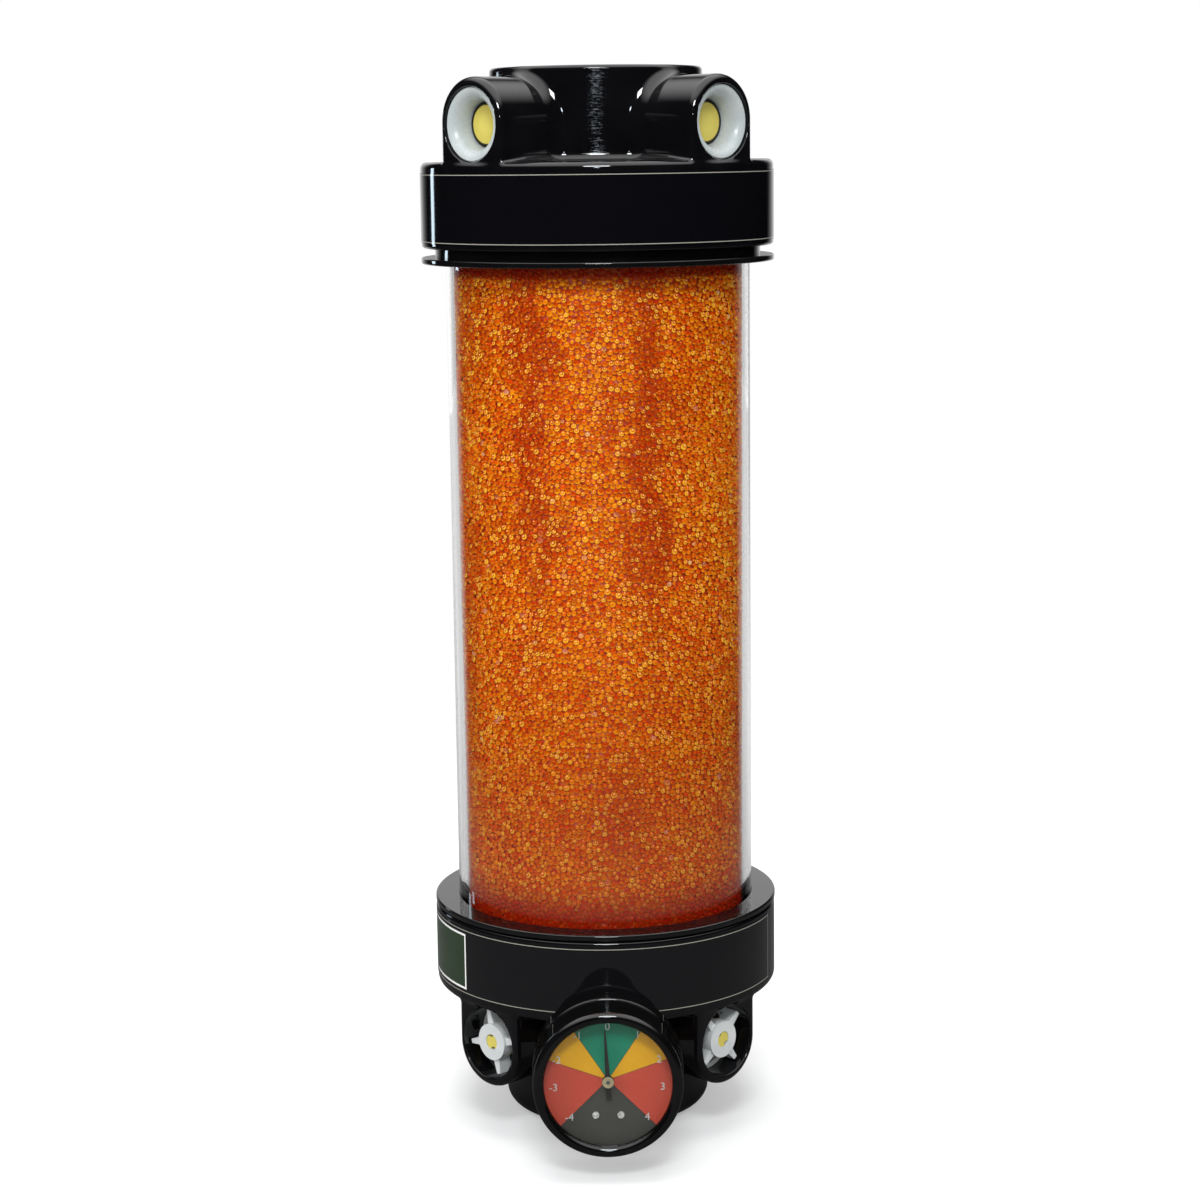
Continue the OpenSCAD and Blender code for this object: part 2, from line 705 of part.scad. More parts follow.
module gauge_case() {
    color("#121214") gauge_frame() difference() {
        rotate_extrude() polygon(concat(
            [[0, case_back]],
            arc([band_r - case_edge_r, case_back + case_edge_r], case_edge_r, -90, 0),
            arc([band_r - band_edge_r, band_end - band_edge_r], band_edge_r, 0, 90),
            [[case_r, band_end], [case_r, case_front], [0, case_front]]
        ));
        translate([0, 0, inside_back]) cylinder(r = ledge_r, h = case_len);
        translate([0, 0, dial_back]) cylinder(r = case_in_r, h = case_len);
        translate([0, 0, case_back - overlap])
            cylinder(d = shank_d + 2 * gauge_fit, h = case_back_t + 2 * overlap);
    }
}

module gauge_bezel() {
    color("#0c0c0d") gauge_frame() rotate_extrude() polygon(concat(
        [[bezel_in_r, bezel_back], [bezel_r, bezel_back]],
        arc([bezel_r - lip_r, crest], lip_r, 0, 180, 14),
        [[lip_in_r, lip_back], [bezel_in_r, lip_back]]
    ));
}

module gauge_lens() {
    color("#f4f8fa", 0.3) gauge_frame() translate([0, 0, gasket_front]) cylinder(r = case_r, h = lens_t);
}

module lens_gasket() {
    color("#262626") gauge_frame() translate([0, 0, case_front]) ring(case_r, case_r - gasket_w, gasket_t);
}

module gauge_dial() {
    color("#2f7f68") gauge_frame() difference() {
        translate([0, 0, dial_back]) cylinder(r = case_in_r - gauge_fit, h = dial_t);
        translate([0, 0, dial_back - overlap])
            cylinder(d = arbor_d + 2 * dial_hole_fit, h = dial_t + 2 * overlap);
        for (side = [-1, 1]) translate([side * screw_pitch / 2, -screw_drop, dial_back - overlap])
            cylinder(d = screw_d + gauge_fit, h = dial_t + 2 * overlap);
    }
}

module dial_screws() {
    color("#c6c8ca") gauge_frame() for (side = [-1, 1])
        translate([side * screw_pitch / 2, -screw_drop, 0]) {
            translate([0, 0, dial_front]) cylinder(d = screw_head_d, h = screw_head_t);
            translate([0, 0, block_front + overlap]) cylinder(
                d = screw_d - 2 * screw_fit, h = dial_front - block_front - overlap + screw_head_t / 2);
        }
}

module gauge_needle() {
    blade_z = (hub_back + hub_front - needle_t) / 2;
    color("#1d1d1f") gauge_frame() rotate([0, 0, needle_lean]) difference() {
        union() {
            translate([0, 0, hub_back]) cylinder(d = needle_hub_d, h = needle_hub_t);
            translate([0, 0, blade_z]) linear_extrude(needle_t) polygon([
                [-needle_w / 2, -tail_len], [needle_w / 2, -tail_len],
                [needle_w / 2, 0], [needle_tip_w / 2, needle_len],
                [-needle_tip_w / 2, needle_len], [-needle_w / 2, 0]
            ]);
        }
        translate([0, 0, hub_back - overlap])
            cylinder(d = arbor_d + 2 * needle_fit, h = needle_hub_t + 2 * overlap);
    }
}

module gauge_arbor() {
    color("#c9c9c4") gauge_frame() translate([0, 0, plate_back])
        cylinder(d = arbor_d, h = hub_front - plate_back);
}

module bourdon_tube() {
    color("#b98d3f") gauge_frame() translate([0, 0, bourdon_back]) rotate([0, 0, bourdon_start])
        rotate_extrude(angle = bourdon_sweep) translate([bourdon_r - bourdon_t / 2, 0])
            square([bourdon_t, bourdon_w]);
}

// Plate that carries the arbor, on two pillars from the socket's block
module movement_plate() {
    pillar_side = block_w / 4;
    pillar_at = block_rise - screw_d;
    color("#c4a457") gauge_frame() difference() {
        union() {
            translate([0, 0, plate_back]) cylinder(d = plate_d, h = plate_t);
            for (side = [-1, 1]) translate([side * pillar_side, side * pillar_at, block_front])
                cylinder(d = screw_d, h = plate_back - block_front + plate_t / 2);
        }
        translate([0, 0, plate_back - overlap])
            cylinder(d = arbor_d + 2 * arbor_fit, h = plate_t + 2 * overlap);
    }
}

bottom_cap();
top_cap();
bottom_collar();
top_collar();
bottom_seal_ring();
top_seal_ring();
tube();
silica_gel();
lower_pad();
upper_pad();
lower_screen();
upper_screen();
bottom_label();
top_label();
for (kind = VALVE_KINDS, i = [0 : 3]) {
    inlet_frame(i) valve_piece(kind);
    outlet_frame(i) valve_piece(kind);
}
valve_seal_rings();
gauge_socket();
gauge_case();
gauge_bezel();
gauge_lens();
lens_gasket();
gauge_dial();
dial_screws();
gauge_needle();
gauge_arbor();
bourdon_tube();
movement_plate();
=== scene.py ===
"""Looks of a silica gel breather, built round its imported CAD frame."""

import math

import bmesh
import bpy
import numpy as np
from mathutils import Matrix, Vector


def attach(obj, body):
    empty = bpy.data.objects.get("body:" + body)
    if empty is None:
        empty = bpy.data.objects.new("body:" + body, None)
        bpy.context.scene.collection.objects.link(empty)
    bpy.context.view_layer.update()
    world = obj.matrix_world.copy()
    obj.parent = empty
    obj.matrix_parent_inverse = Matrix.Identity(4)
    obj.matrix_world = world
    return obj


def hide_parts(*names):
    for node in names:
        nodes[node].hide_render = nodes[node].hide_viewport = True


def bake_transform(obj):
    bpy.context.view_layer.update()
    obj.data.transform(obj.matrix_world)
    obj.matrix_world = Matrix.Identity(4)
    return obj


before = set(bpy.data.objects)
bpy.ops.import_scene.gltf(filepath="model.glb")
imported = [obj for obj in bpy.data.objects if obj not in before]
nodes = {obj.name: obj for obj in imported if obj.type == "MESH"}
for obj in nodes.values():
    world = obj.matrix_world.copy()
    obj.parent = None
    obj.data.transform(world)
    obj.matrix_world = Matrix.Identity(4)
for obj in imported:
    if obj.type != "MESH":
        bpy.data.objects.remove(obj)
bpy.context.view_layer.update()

# Metres in a millimetre
MM = 0.001

# Sizes in millimetres, as in the CAD source
SKIRT_R, SKIRT_IN_R, SKIRT_H = 73.35, 68.05, 35.0
BOSS_R, CAVITY_R = 44.0, 38.0
TOP_BOSS_H, TOP_FLOOR_T, TOP_EDGE_R = 73.0, 5.0, 1.6
BOTTOM_BOSS_H, FOOT_EDGE_R = 91.5, 7.0
RIM_R, EDGE_R, DECK_T = 1.2, 2.5, 5.0
PORT_H, PORT_BORE_R, PORT_THROAT_R = 50.0, 15.0, 11.5
ARCH_R, ARCH_Z, PORT_FACE, PORT_EDGE_R = 17.8, 51.0, 71.5, 3.2
INLET_SHOULDER, OUTLET_MOUTH = 49.5, 47.1
LOW_RIM_Z, HIGH_RIM_Z = 91.5, 372.0
LOW_PORT_Z, HIGH_PORT_Z, NOSE_R = 41.5, 422.0, 8.8
TANK_BORE_R, TANK_LEN = 15.1, 24.0
GAUGE_Z, PAD_R, PAD_FACE, PAD_HOLE_R = 41.5, 12.0, 54.0, 6.6
DIAL_FRONT = 96.4
BED_R, BED_LOW, BED_HIGH = 60.1, 85.5, 374.5
TOP_LABEL, BOTTOM_LABEL = (374.2, 402.8), (60.7, 89.3)

# Roundings of the cap mouldings, in millimetres
FILLET_R, BORE_EDGE_R, PAD_FILLET_R, TANK_EDGE_R = 4.0, 0.6, 2.0, 0.8
# An arch's fillet shrinks outwards: its radius at the root and the face, and how far out each holds
ROOT_FILLET_R, FACE_FILLET_R = 5.0, 1.2
ROOT_AT, MIDDLE_AT, FACE_AT = 46, 58, 70

# Segments round a cap and round the bed, and a weld's distance in metres
CAP_TURNS, BED_TURNS, WELD = 240, 160, 2e-6
# Degrees over which an edge stays sharp
SHARP_ANGLE, COIL_SHARP_ANGLE = 32, 50

# Beads: radii and depths in millimetres, tilt of the pole in degrees, up towards the lamps so that
# the painted glint at the pole faces them
BEAD_SEED, BEAD_PIECES = 7, 5
BEAD_MEAN, BEAD_SPREAD, BEAD_LEAST, BEAD_MOST = 1.12, 0.17, 0.75, 1.65
BEAD_COVER, BEAD_SINK, BEAD_TILT = 0.83, 0.5, 24
# Shares that are left of a bead's depth, as the wall presses it, and of its roundness in the shading
BEAD_DEPTH, BEAD_ROUNDNESS = 0.62, 0.28
# Rings of a bead's cap: degrees from the pole and count of points
BEAD_RINGS = [(0, 1), (46, 6), (98, 8)]
BEAD_TONES = [(0.0, "#dc3401"), (0.25, "#e24c02"), (0.5, "#e86004"), (0.8, "#ee7606"),
              (0.985, "#f28c0c"), (1.0, "#d89080")]
# The sleeve of gel behind the beads: depths of its faces under the bed's, in millimetres
SLEEVE_FRONT, SLEEVE_BACK = 1.5, 4
# Places across the tube, in metres, of two dark streaks of painted shade in the gel
SHADE_STREAKS = (-0.027, 0.019)
# Heights in metres over which the painted shade streaks fade in, and over which painted shade fades
# at the bed's ends
SHADE_STREAK_FADE, FOOT_FADE = (0.16, 0.27), (0.12, 0.24)
LOW_COLLAR_FADE, HIGH_COLLAR_FADE = (0.0955, 0.114), (0.3588, 0.3622)

# Dial: colours of each field from the top down, the angles that part them, and the numbers
DIAL_FIELDS = [("#0a8464", "#087859"), ("#e4a808", "#d89c06"), ("#c54a36", "#b9432f"),
               ("#46453f", "#3d3c38")]
DIAL_EDGES = (33.5, 70.5, 135)
DIAL_NUMBERS = [(0, "0"), (33, "1"), (68, "2"), (98, "3"), (135, "4")]
NUMBER_SIZE, NUMBER_REACH, NUMBER_DEPTH, NUMBER_LIFT = 0.0044, 0.0223, 0.00002, 0.00004

# Labels: edge lines and the green field with its border, in metres; angles in degrees
LINE_INSET, LINE_WIDTH = 0.0007, 0.00016
FIELD_START, FIELD_END, FIELD_INSET, FIELD_BORDER = -118, -53.5, 0.0022, 0.0009
FIELD_SOFT, SEAM_AT = 0.00004, 70.0

FLOOR_HALF, FLOOR_DROP = 3.0, 0.0002


# Meshes

def add_object(name, mesh, body, stands_for=()):
    """A piece that rides on a body, on its own or in place of CAD nodes."""
    piece = bpy.data.objects.new(name, mesh)
    bpy.context.scene.collection.objects.link(piece)
    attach(piece, body)
    if stands_for:
        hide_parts(*stands_for)


def mesh_of(name, points_mm, *groups):
    """A smooth-shaded mesh from points in millimetres and arrays of faces, each of equal faces."""
    groups = [np.asarray(group, np.int32) for group in groups]
    sides = np.concatenate([np.full(len(group), group.shape[1], np.int32) for group in groups])
    corners = np.concatenate([group.ravel() for group in groups])
    mesh = bpy.data.meshes.new(name)
    mesh.vertices.add(len(points_mm))
    mesh.vertices.foreach_set("co", (np.asarray(points_mm) * MM).astype(np.float32).ravel())
    mesh.loops.add(len(corners))
    mesh.loops.foreach_set("vertex_index", corners)
    mesh.polygons.add(len(sides))
    mesh.polygons.foreach_set("loop_start", np.cumsum(sides, dtype=np.int32) - sides)
    mesh.polygons.foreach_set("use_smooth", np.ones(len(sides), bool))
    mesh.update(calc_edges=True)
    mesh.validate()
    return mesh


# Fields: the distance to a moulding's surface, below zero inside it

def rounded_overlap(a, b, radius):
    """What the solids a and b share, with a rounding on the edge between them."""
    a, b = a + radius, b + radius
    return np.hypot(np.maximum(a, 0), np.maximum(b, 0)) + np.minimum(np.maximum(a, b), 0) - radius


def rounded_disc(r, z, radius, low, high, low_round, high_round):
    """A disc between two heights, with a rounding on each rim."""
    middle = (low + high) / 2
    edge = np.where(z > middle, high_round, low_round)
    return rounded_overlap(r - radius, np.abs(z - middle) - (high - low) / 2, edge)


def filleted_union(a, b, radius):
    """The solids a and b together, with a fillet in the corner between them."""
    inner = np.hypot(np.maximum(radius - a, 0), np.maximum(radius - b, 0))
    return np.maximum(radius, np.minimum(a, b)) - inner


def rounded_cut(a, b, radius):
    """The solid a without the solid b, with a rounding on the edge between them."""
    outer = np.hypot(np.maximum(radius + a, 0), np.maximum(radius - b, 0))
    return np.minimum(-radius, np.maximum(a, -b)) + outer


def cap_field(x, y, z, boss_h, boss_edge, shoulder, cavity_top):
    """What both caps share: skirt, boss, four arches with their bores, and the hollow inside."""
    r = np.hypot(x, y)
    along = (np.abs(x) + np.abs(y)) / math.sqrt(2)
    aside = (np.abs(y) - np.abs(x)) / math.sqrt(2)
    skirt = rounded_disc(r, z, SKIRT_R, 0, SKIRT_H, RIM_R, EDGE_R)
    boss = rounded_disc(r, z, BOSS_R, 0, boss_h, RIM_R, boss_edge)
    arch = np.hypot(aside, np.maximum(z - ARCH_Z, 0)) - ARCH_R
    arch = rounded_overlap(arch, along - PORT_FACE, PORT_EDGE_R)
    arch = np.maximum(np.maximum(arch, CAVITY_R / 2 - along), SKIRT_H - DECK_T - z)
    arch_fillet = np.interp(along, (ROOT_AT, MIDDLE_AT, FACE_AT),
                            (ROOT_FILLET_R, FILLET_R, FACE_FILLET_R))
    solid = filleted_union(filleted_union(skirt, boss, FILLET_R), arch, arch_fillet)
    beside = np.hypot(aside, z - PORT_H)
    bore = np.maximum(beside - PORT_BORE_R, shoulder - along)
    throat = np.maximum(beside - PORT_THROAT_R, CAVITY_R / 2 - along)
    solid = rounded_cut(solid, bore, BORE_EDGE_R)
    solid = np.maximum(solid, -throat)
    solid = np.maximum(solid, -np.maximum(r - SKIRT_IN_R, z - SKIRT_H + DECK_T))
    return np.maximum(solid, -np.maximum(r - CAVITY_R, z - cavity_top))


def top_cap_field(x, y, z):
    return cap_field(x, y, z, TOP_BOSS_H, TOP_EDGE_R, INLET_SHOULDER, TOP_BOSS_H - TOP_FLOOR_T)


def bottom_cap_field(x, y, z):
    """The bottom cap upside down, with the gauge's pad and the tank port."""
    solid = cap_field(x, y, z, BOTTOM_BOSS_H, FOOT_EDGE_R, OUTLET_MOUTH, BOTTOM_BOSS_H - TANK_LEN)
    beside = np.hypot(x, z - BOTTOM_BOSS_H + GAUGE_Z)
    pad = np.maximum(beside - PAD_R, np.maximum(y - PAD_FACE, CAVITY_R - y))
    solid = filleted_union(solid, pad, PAD_FILLET_R)
    solid = np.maximum(solid, -np.maximum(beside - PAD_HOLE_R, CAVITY_R / 2 - y))
    return rounded_cut(solid, np.hypot(x, y) - TANK_BORE_R, TANK_EDGE_R)


def field_normal(field, points, step=0.05):
    """The direction in which a field grows at each point, from steps to both sides."""
    shifts = np.eye(3) * step
    slope = np.stack([field(*(points + s).T) - field(*(points - s).T) for s in shifts], 1)
    return slope / np.maximum(np.linalg.norm(slope, axis=1), 1e-9)[:, None]


# The surface of a field, as points in the cells of a round grid and faces between them

CORNERS = [(i, j, k) for i in (0, 1) for j in (0, 1) for k in (0, 1)]


def grid_lines(*stretches):
    """Lines of a grid from stretches of (start, end, step)."""
    lines = [np.linspace(a, b, max(2, round((b - a) / s) + 1))[:-1] for a, b, s in stretches]
    return np.concatenate(lines + [[stretches[-1][1]]])


def at_corner(grid, corner):
    """The values of a grid at one corner of all its cells."""
    return grid[tuple(slice(c, n - 1 + c) for c, n in zip(corner, grid.shape))]


def crossed_cells(d):
    """Numbers of the cells that the surface crosses, and the mean place of its crossings in each."""
    filled = sum(at_corner(d < 0, corner).astype(np.int8) for corner in CORNERS)
    active = (filled > 0) & (filled < len(CORNERS))
    cells = np.argwhere(active)
    index = np.full(active.shape, -1, np.int64)
    index[active] = np.arange(len(cells))
    place, hits = np.zeros((len(cells), 3)), np.zeros(len(cells))
    for a in CORNERS:
        for axis in range(3):
            if a[axis]:
                continue
            b = tuple(1 if i == axis else c for i, c in enumerate(a))
            da, db = at_corner(d, a)[active], at_corner(d, b)[active]
            cut = (da < 0) != (db < 0)
            share = np.where(cut, da / np.where(cut, da - db, 1), 0)
            place[cut] += (np.array(a) + share[:, None] * (np.array(b) - np.array(a)))[cut]
            hits += cut
    return index, cells + place / hits[:, None]


def crossed_edges(d, index, turns):
    """A face for each grid line's step that the surface crosses, through the four cells round it."""
    inside = d < 0
    faces = []
    for axis in range(3):
        b, c = (axis + 1) % 3, (axis + 2) % 3
        length = d.shape[axis]
        first = inside.take(range(length - 1), axis)
        last = inside.take(range(1, length), axis)
        cut = np.argwhere(first != last)
        keep = np.ones(len(cut), bool)
        for other in (b, c):
            if other == 0:
                keep &= cut[:, 0] < turns
            else:
                keep &= (cut[:, other] > 0) & (cut[:, other] < d.shape[other] - 1)
        cut = cut[keep]
        ring = []
        for step_b, step_c in ((0, 0), (-1, 0), (-1, -1), (0, -1)):
            cell = cut.copy()
            cell[:, b] += step_b
            cell[:, c] += step_c
            cell[:, 0] %= turns
            ring.append(index[tuple(cell.T)])
        quad = np.stack(ring, 1)
        backward = first[tuple(cut.T)]
        quad[backward] = quad[backward][:, ::-1]
        faces.append(quad)
    return np.concatenate(faces)


def moulding(field, r_lines, z_lines, turns):
    """Points, four-sided faces and closing triangles of a field's surface."""
    angles = np.arange(turns) * 2 * math.pi / turns
    t, r, z = np.meshgrid(angles, r_lines, z_lines, indexing="ij")
    d = field(r * np.cos(t), r * np.sin(t), z)
    d = np.concatenate([d, d[:1]], 0)
    index, place = crossed_cells(d)
    faces = crossed_edges(d, index, turns)
    turn = place[:, 0] * 2 * math.pi / turns
    radius = np.interp(place[:, 1], np.arange(len(r_lines)), r_lines)
    points = np.stack([radius * np.cos(turn), radius * np.sin(turn),
                       np.interp(place[:, 2], np.arange(len(z_lines)), z_lines)], 1)
    # The points are drawn onto the surface in a few short pulls
    pulls, longest = 4, 0.5
    for _ in range(pulls):
        value, normal = field(*points.T), field_normal(field, points)
        points = points - np.clip(value, -longest, longest)[:, None] * normal
    # A fan closes each surface that crosses the grid's middle line
    fans, probe = [np.zeros((0, 3), int)], 0.3
    for k in range(index.shape[2]):
        ring = index[:, 0, k]
        if (ring >= 0).all():
            centre = points[ring].mean(0)
            points = np.vstack([points, centre])
            hub = np.full(turns, len(points) - 1)
            upward = field(0, 0, centre[2] + probe) > 0
            pair = (ring, np.roll(ring, -1)) if upward else (np.roll(ring, -1), ring)
            fans.append(np.stack([hub, *pair], 1))
    return points, faces, np.concatenate(fans)


def cap_piece(name, field, r_lines, z_lines, place, material):
    """A cap from its field, with the field's own normals, in place of its CAD node."""
    points, faces, fans = moulding(field, r_lines, z_lines, CAP_TURNS)
    normals = field_normal(field, points)
    world = np.array(place)
    points = points @ world[:3, :3].T + world[:3, 3]
    normals = normals @ world[:3, :3].T
    mesh = mesh_of(name, points, faces, fans)
    mesh.normals_split_custom_set_from_vertices(normals.astype(np.float32))
    mesh.materials.append(material)
    add_object(name + "_moulding", mesh, "housing", [name])


# Materials

def rgba(colour):
    """A colour as four numbers, from three linear ones or a hex word."""
    if isinstance(colour, str):
        parts = [int(colour[i:i + 2], 16) / 255 for i in (1, 3, 5)]
        colour = [c / 12.92 if c <= 0.04045 else ((c + 0.055) / 1.055) ** 2.4 for c in parts]
    return (*colour[:3], 1.0)


class Maker:
    """A short hand for node trees."""

    def __init__(self, name, tree=None):
        self.material = None
        if tree is None:
            self.material = bpy.data.materials.new(name)
            self.material.use_nodes = True
            tree = self.material.node_tree
        self.tree = tree
        tree.nodes.clear()

    def node(self, kind, **settings):
        made = self.tree.nodes.new(kind)
        for key, value in settings.items():
            setattr(made, key, value)
        return made

    def feed(self, socket, value):
        if isinstance(value, bpy.types.NodeSocket):
            self.tree.links.new(value, socket)
        elif socket.type == "RGBA":
            socket.default_value = rgba(value)
        else:
            socket.default_value = value

    def math(self, operation, *values):
        made = self.node("ShaderNodeMath", operation=operation)
        for socket, value in zip(made.inputs, values):
            self.feed(socket, value)
        return made.outputs[0]

    def times(self, first, *others):
        for other in others:
            first = self.math("MULTIPLY", first, other)
        return first

    def swing(self, value, scale, base):
        """The value times a scale, over a base."""
        return self.math("ADD", self.math("MULTIPLY", value, scale), base)

    def apart(self, value, centre):
        """How far the value is from a centre, on either side."""
        return self.math("ABSOLUTE", self.math("SUBTRACT", value, centre))

    def reach(self, a, b):
        """The distance from an axis, by two offsets square to each other."""
        squares = self.math("ADD", self.math("POWER", a, 2.0), self.math("POWER", b, 2.0))
        return self.math("POWER", squares, 0.5)

    def aslant(self, x, y):
        """How far to the side a place or direction is, as a share of how far behind."""
        return self.math("DIVIDE", self.math("ABSOLUTE", x), self.math("MAXIMUM", y, 0.001))

    def mix(self, share, a, b):
        made = self.node("ShaderNodeMix", data_type="RGBA")
        self.feed(made.inputs["Factor"], share)
        for socket, value in zip([s for s in made.inputs if s.type == "RGBA"], (a, b)):
            self.feed(socket, value)
        return [s for s in made.outputs if s.type == "RGBA"][0]

    def steps(self, value, low, high, to_low=0.0, to_high=1.0):
        """A smooth step from to_low to to_high, as the value goes from low to high."""
        made = self.node("ShaderNodeMapRange", interpolation_type="SMOOTHSTEP")
        for socket, number in zip(made.inputs[:5], (value, low, high, to_low, to_high)):
            self.feed(socket, number)
        return made.outputs[0]

    def fall(self, value, low, high, top=1.0):
        """A smooth step from top down to nothing."""
        return self.steps(value, low, high, top, 0.0)

    def ramp(self, value, stops):
        """A colour by value, from stops of (place, colour)."""
        made = self.node("ShaderNodeValToRGB")
        elements = made.color_ramp.elements
        for element, (place, colour) in zip(elements, (stops[0], stops[-1])):
            element.position, element.color = place, rgba(colour)
        for place, colour in stops[1:-1]:
            elements.new(place).color = rgba(colour)
        self.feed(made.inputs[0], value)
        return made.outputs[0]

    def noise(self, scale, detail=3.0, roughness=0.5, vector=None):
        made = self.node("ShaderNodeTexNoise")
        self.feed(made.inputs["Vector"], vector or self.places())
        self.feed(made.inputs["Scale"], scale)
        self.feed(made.inputs["Detail"], detail)
        self.feed(made.inputs["Roughness"], roughness)
        return made.outputs[0]

    def places(self):
        return self.node("ShaderNodeTexCoord").outputs["Object"]

    def split(self, vector=None):
        made = self.node("ShaderNodeSeparateXYZ")
        self.feed(made.inputs[0], vector or self.places())
        return made.outputs

    def stretched(self, x, y, z):
        made = self.node("ShaderNodeMapping")
        self.feed(made.inputs["Vector"], self.places())
        made.inputs["Scale"].default_value = (x, y, z)
        return made.outputs[0]

    def bump(self, height, strength, distance, under=None):
        made = self.node("ShaderNodeBump")
        if under:
            self.feed(made.inputs["Normal"], under)
        self.feed(made.inputs["Height"], height)
        made.inputs["Strength"].default_value = strength
        made.inputs["Distance"].default_value = distance
        return made.outputs[0]

    def shader(self, **values):
        made = self.node("ShaderNodeBsdfPrincipled")
        for key, value in values.items():
            self.feed(made.inputs[key.replace("_", " ")], value)
        return made.outputs[0]

    def mix_shaders(self, share, a, b):
        made = self.node("ShaderNodeMixShader")
        for socket, value in zip(made.inputs, (share, a, b)):
            self.feed(socket, value)
        return made.outputs[0]

    def done(self, surface):
        out = self.node("ShaderNodeOutputMaterial")
        self.tree.links.new(surface, out.inputs["Surface"])
        return self.material


def gloss_black(name, colour, other, rough, scuff, waves, scratch=0.0):
    """Moulded black plastic: flow marks, dull patches, fine scuffs and scratches round the boss."""
    m = Maker(name)
    patch = m.noise(45, 4)
    hairs = m.noise(1, 2, 0.6, m.stretched(900, 900, 60))
    tint = m.mix(m.steps(patch, 0.35, 0.7), colour, other)
    scuffs = m.times(m.steps(hairs, 0.58, 0.75), scuff)
    dull = m.math("ADD", m.swing(patch, rough, rough / 2), scuffs)
    relief = m.bump(m.noise(70, 2), waves, 0.0006)
    if scratch:
        x, y, _ = m.split()
        on_boss = m.fall(m.apart(m.reach(x, y), BOSS_R * MM), 0.0001, 0.0004)
        fine = m.noise(1, 2, 0.6, m.stretched(55, 55, 4200))
        relief = m.bump(m.times(fine, on_boss), scratch, 0.0002, relief)
    return m.done(m.shader(Base_Color=tint, Roughness=dull, IOR=1.5, Normal=relief))


def plain(name, colour, other, rough, scale, metal=0.0, bump=0.05, grain=None, **more):
    """A procedural finish: two tints, a roughness that varies and a fine relief."""
    m = Maker(name)
    where = m.stretched(*grain) if grain else None
    patch = m.noise(scale, 4, 0.6, where)
    fine = m.noise(scale * 4, 2, 0.5, where)
    tint = m.mix(m.steps(patch, 0.3, 0.7), colour, other)
    rough_swing = 0.1
    dull = m.swing(fine, rough_swing, rough - rough_swing / 2)
    relief = m.bump(fine, bump, 0.0003)
    return m.done(m.shader(Base_Color=tint, Roughness=dull, Metallic=metal, Normal=relief, **more))


def clear(name, ior, rough):
    """Clear moulding that lets lamps through."""
    m = Maker(name)
    haze = m.swing(m.noise(30, 4), rough, rough / 4)
    glass = m.shader(Base_Color=(1.0, 1.0, 1.0), Roughness=haze, IOR=ior, Transmission_Weight=1.0,
                     Specular_IOR_Level=0.2)
    path = m.node("ShaderNodeLightPath").outputs
    see = m.node("ShaderNodeBsdfTransparent")
    m.feed(see.inputs[0], (0.93, 0.94, 0.94))
    light = m.math("MAXIMUM", path["Is Shadow Ray"], path["Is Diffuse Ray"])
    return m.done(m.mix_shaders(light, glass, see.outputs[0]))


def bead_material():
    """Amber gel: tone by bead, painted shade in the core, painted light gathered in the lower half
    and some painted pale glints.
    """
    m = Maker("gel_bead")
    facts = m.node("ShaderNodeAttribute", attribute_name="bead")
    tone, glint, polar = m.split(facts.outputs["Color"])
    rise = facts.outputs["Alpha"]
    x, _, z = m.split()
    colour = m.ramp(tone, BEAD_TONES)
    # Darker red clouds, and two dark streaks down the front that are painted shade
    clouds_and_shade_streaks = m.steps(m.noise(1, 3, 0.55, m.stretched(30, 30, 11)), 0.46, 0.70, 0.0, 0.6)
    wander = m.noise(1, 3, 0.6, m.stretched(60, 60, 28))
    wander = m.times(m.math("SUBTRACT", wander, 0.5), 0.05)
    for place in SHADE_STREAKS:
        off = m.math("ABSOLUTE", m.math("ADD", m.math("SUBTRACT", x, place), wander))
        shade_streak = m.times(m.fall(off, 0.001, 0.013, 0.9), m.steps(z, *SHADE_STREAK_FADE))
        clouds_and_shade_streaks = m.math("MAXIMUM", clouds_and_shade_streaks, shade_streak)
    colour = m.mix(clouds_and_shade_streaks, colour, "#b41c01")
    # Flecks finer than a bead: painted caustic light and painted shade, as of beads seen through
    # beads
    colour = m.mix(m.steps(m.noise(620, 3), 0.50, 0.66, 0.0, 0.8), colour, "#a42601")
    colour = m.mix(m.steps(m.noise(1100, 3), 0.55, 0.67, 0.0, 0.8), colour, "#ffa014")
    # Shade on the upper rim and in the core, and light in the lower half
    rim = m.times(m.steps(polar, 0.35, 0.95), m.steps(rise, 0.35, 0.95, 0.0, 0.35))
    colour = m.mix(rim, colour, "#b02201")
    core = m.times(m.fall(polar, 0.2, 0.6), m.fall(glint, 0.1, 0.7, 0.75))
    colour = m.mix(core, colour, "#ae3401")
    gathered = m.times(m.steps(polar, 0.4, 0.7), m.fall(rise, 0.12, 0.5),
                       m.steps(clouds_and_shade_streaks, 0.0, 0.8, 1.0, 0.2), m.steps(tone, 0.0, 0.9, 0.35, 0.95))
    colour = m.mix(gathered, colour, "#ffa418")
    # Glints
    ring = m.times(m.steps(polar, 0.4, 0.58), m.fall(polar, 0.66, 0.84),
                   m.steps(glint, 0.7, 0.98, 0.06, 1.0))
    colour = m.mix(ring, colour, "#ffd040")
    spot = m.times(m.fall(polar, 0.05, 0.3), m.steps(glint, 0.5, 0.9, 0.0, 0.95))
    colour = m.mix(spot, colour, "#ffd67c")
    # Shade towards the foot of the bed and beside the collars
    colour = m.mix(m.fall(z, *FOOT_FADE, 0.40), colour, "#8a2a08")
    near = m.math("MAXIMUM", m.fall(z, *LOW_COLLAR_FADE), m.steps(z, *HIGH_COLLAR_FADE))
    colour = m.mix(m.times(near, 0.9), colour, "#860801")
    return m.done(m.shader(Base_Color=colour, Roughness=0.1, IOR=1.46, Specular_IOR_Level=0.4))


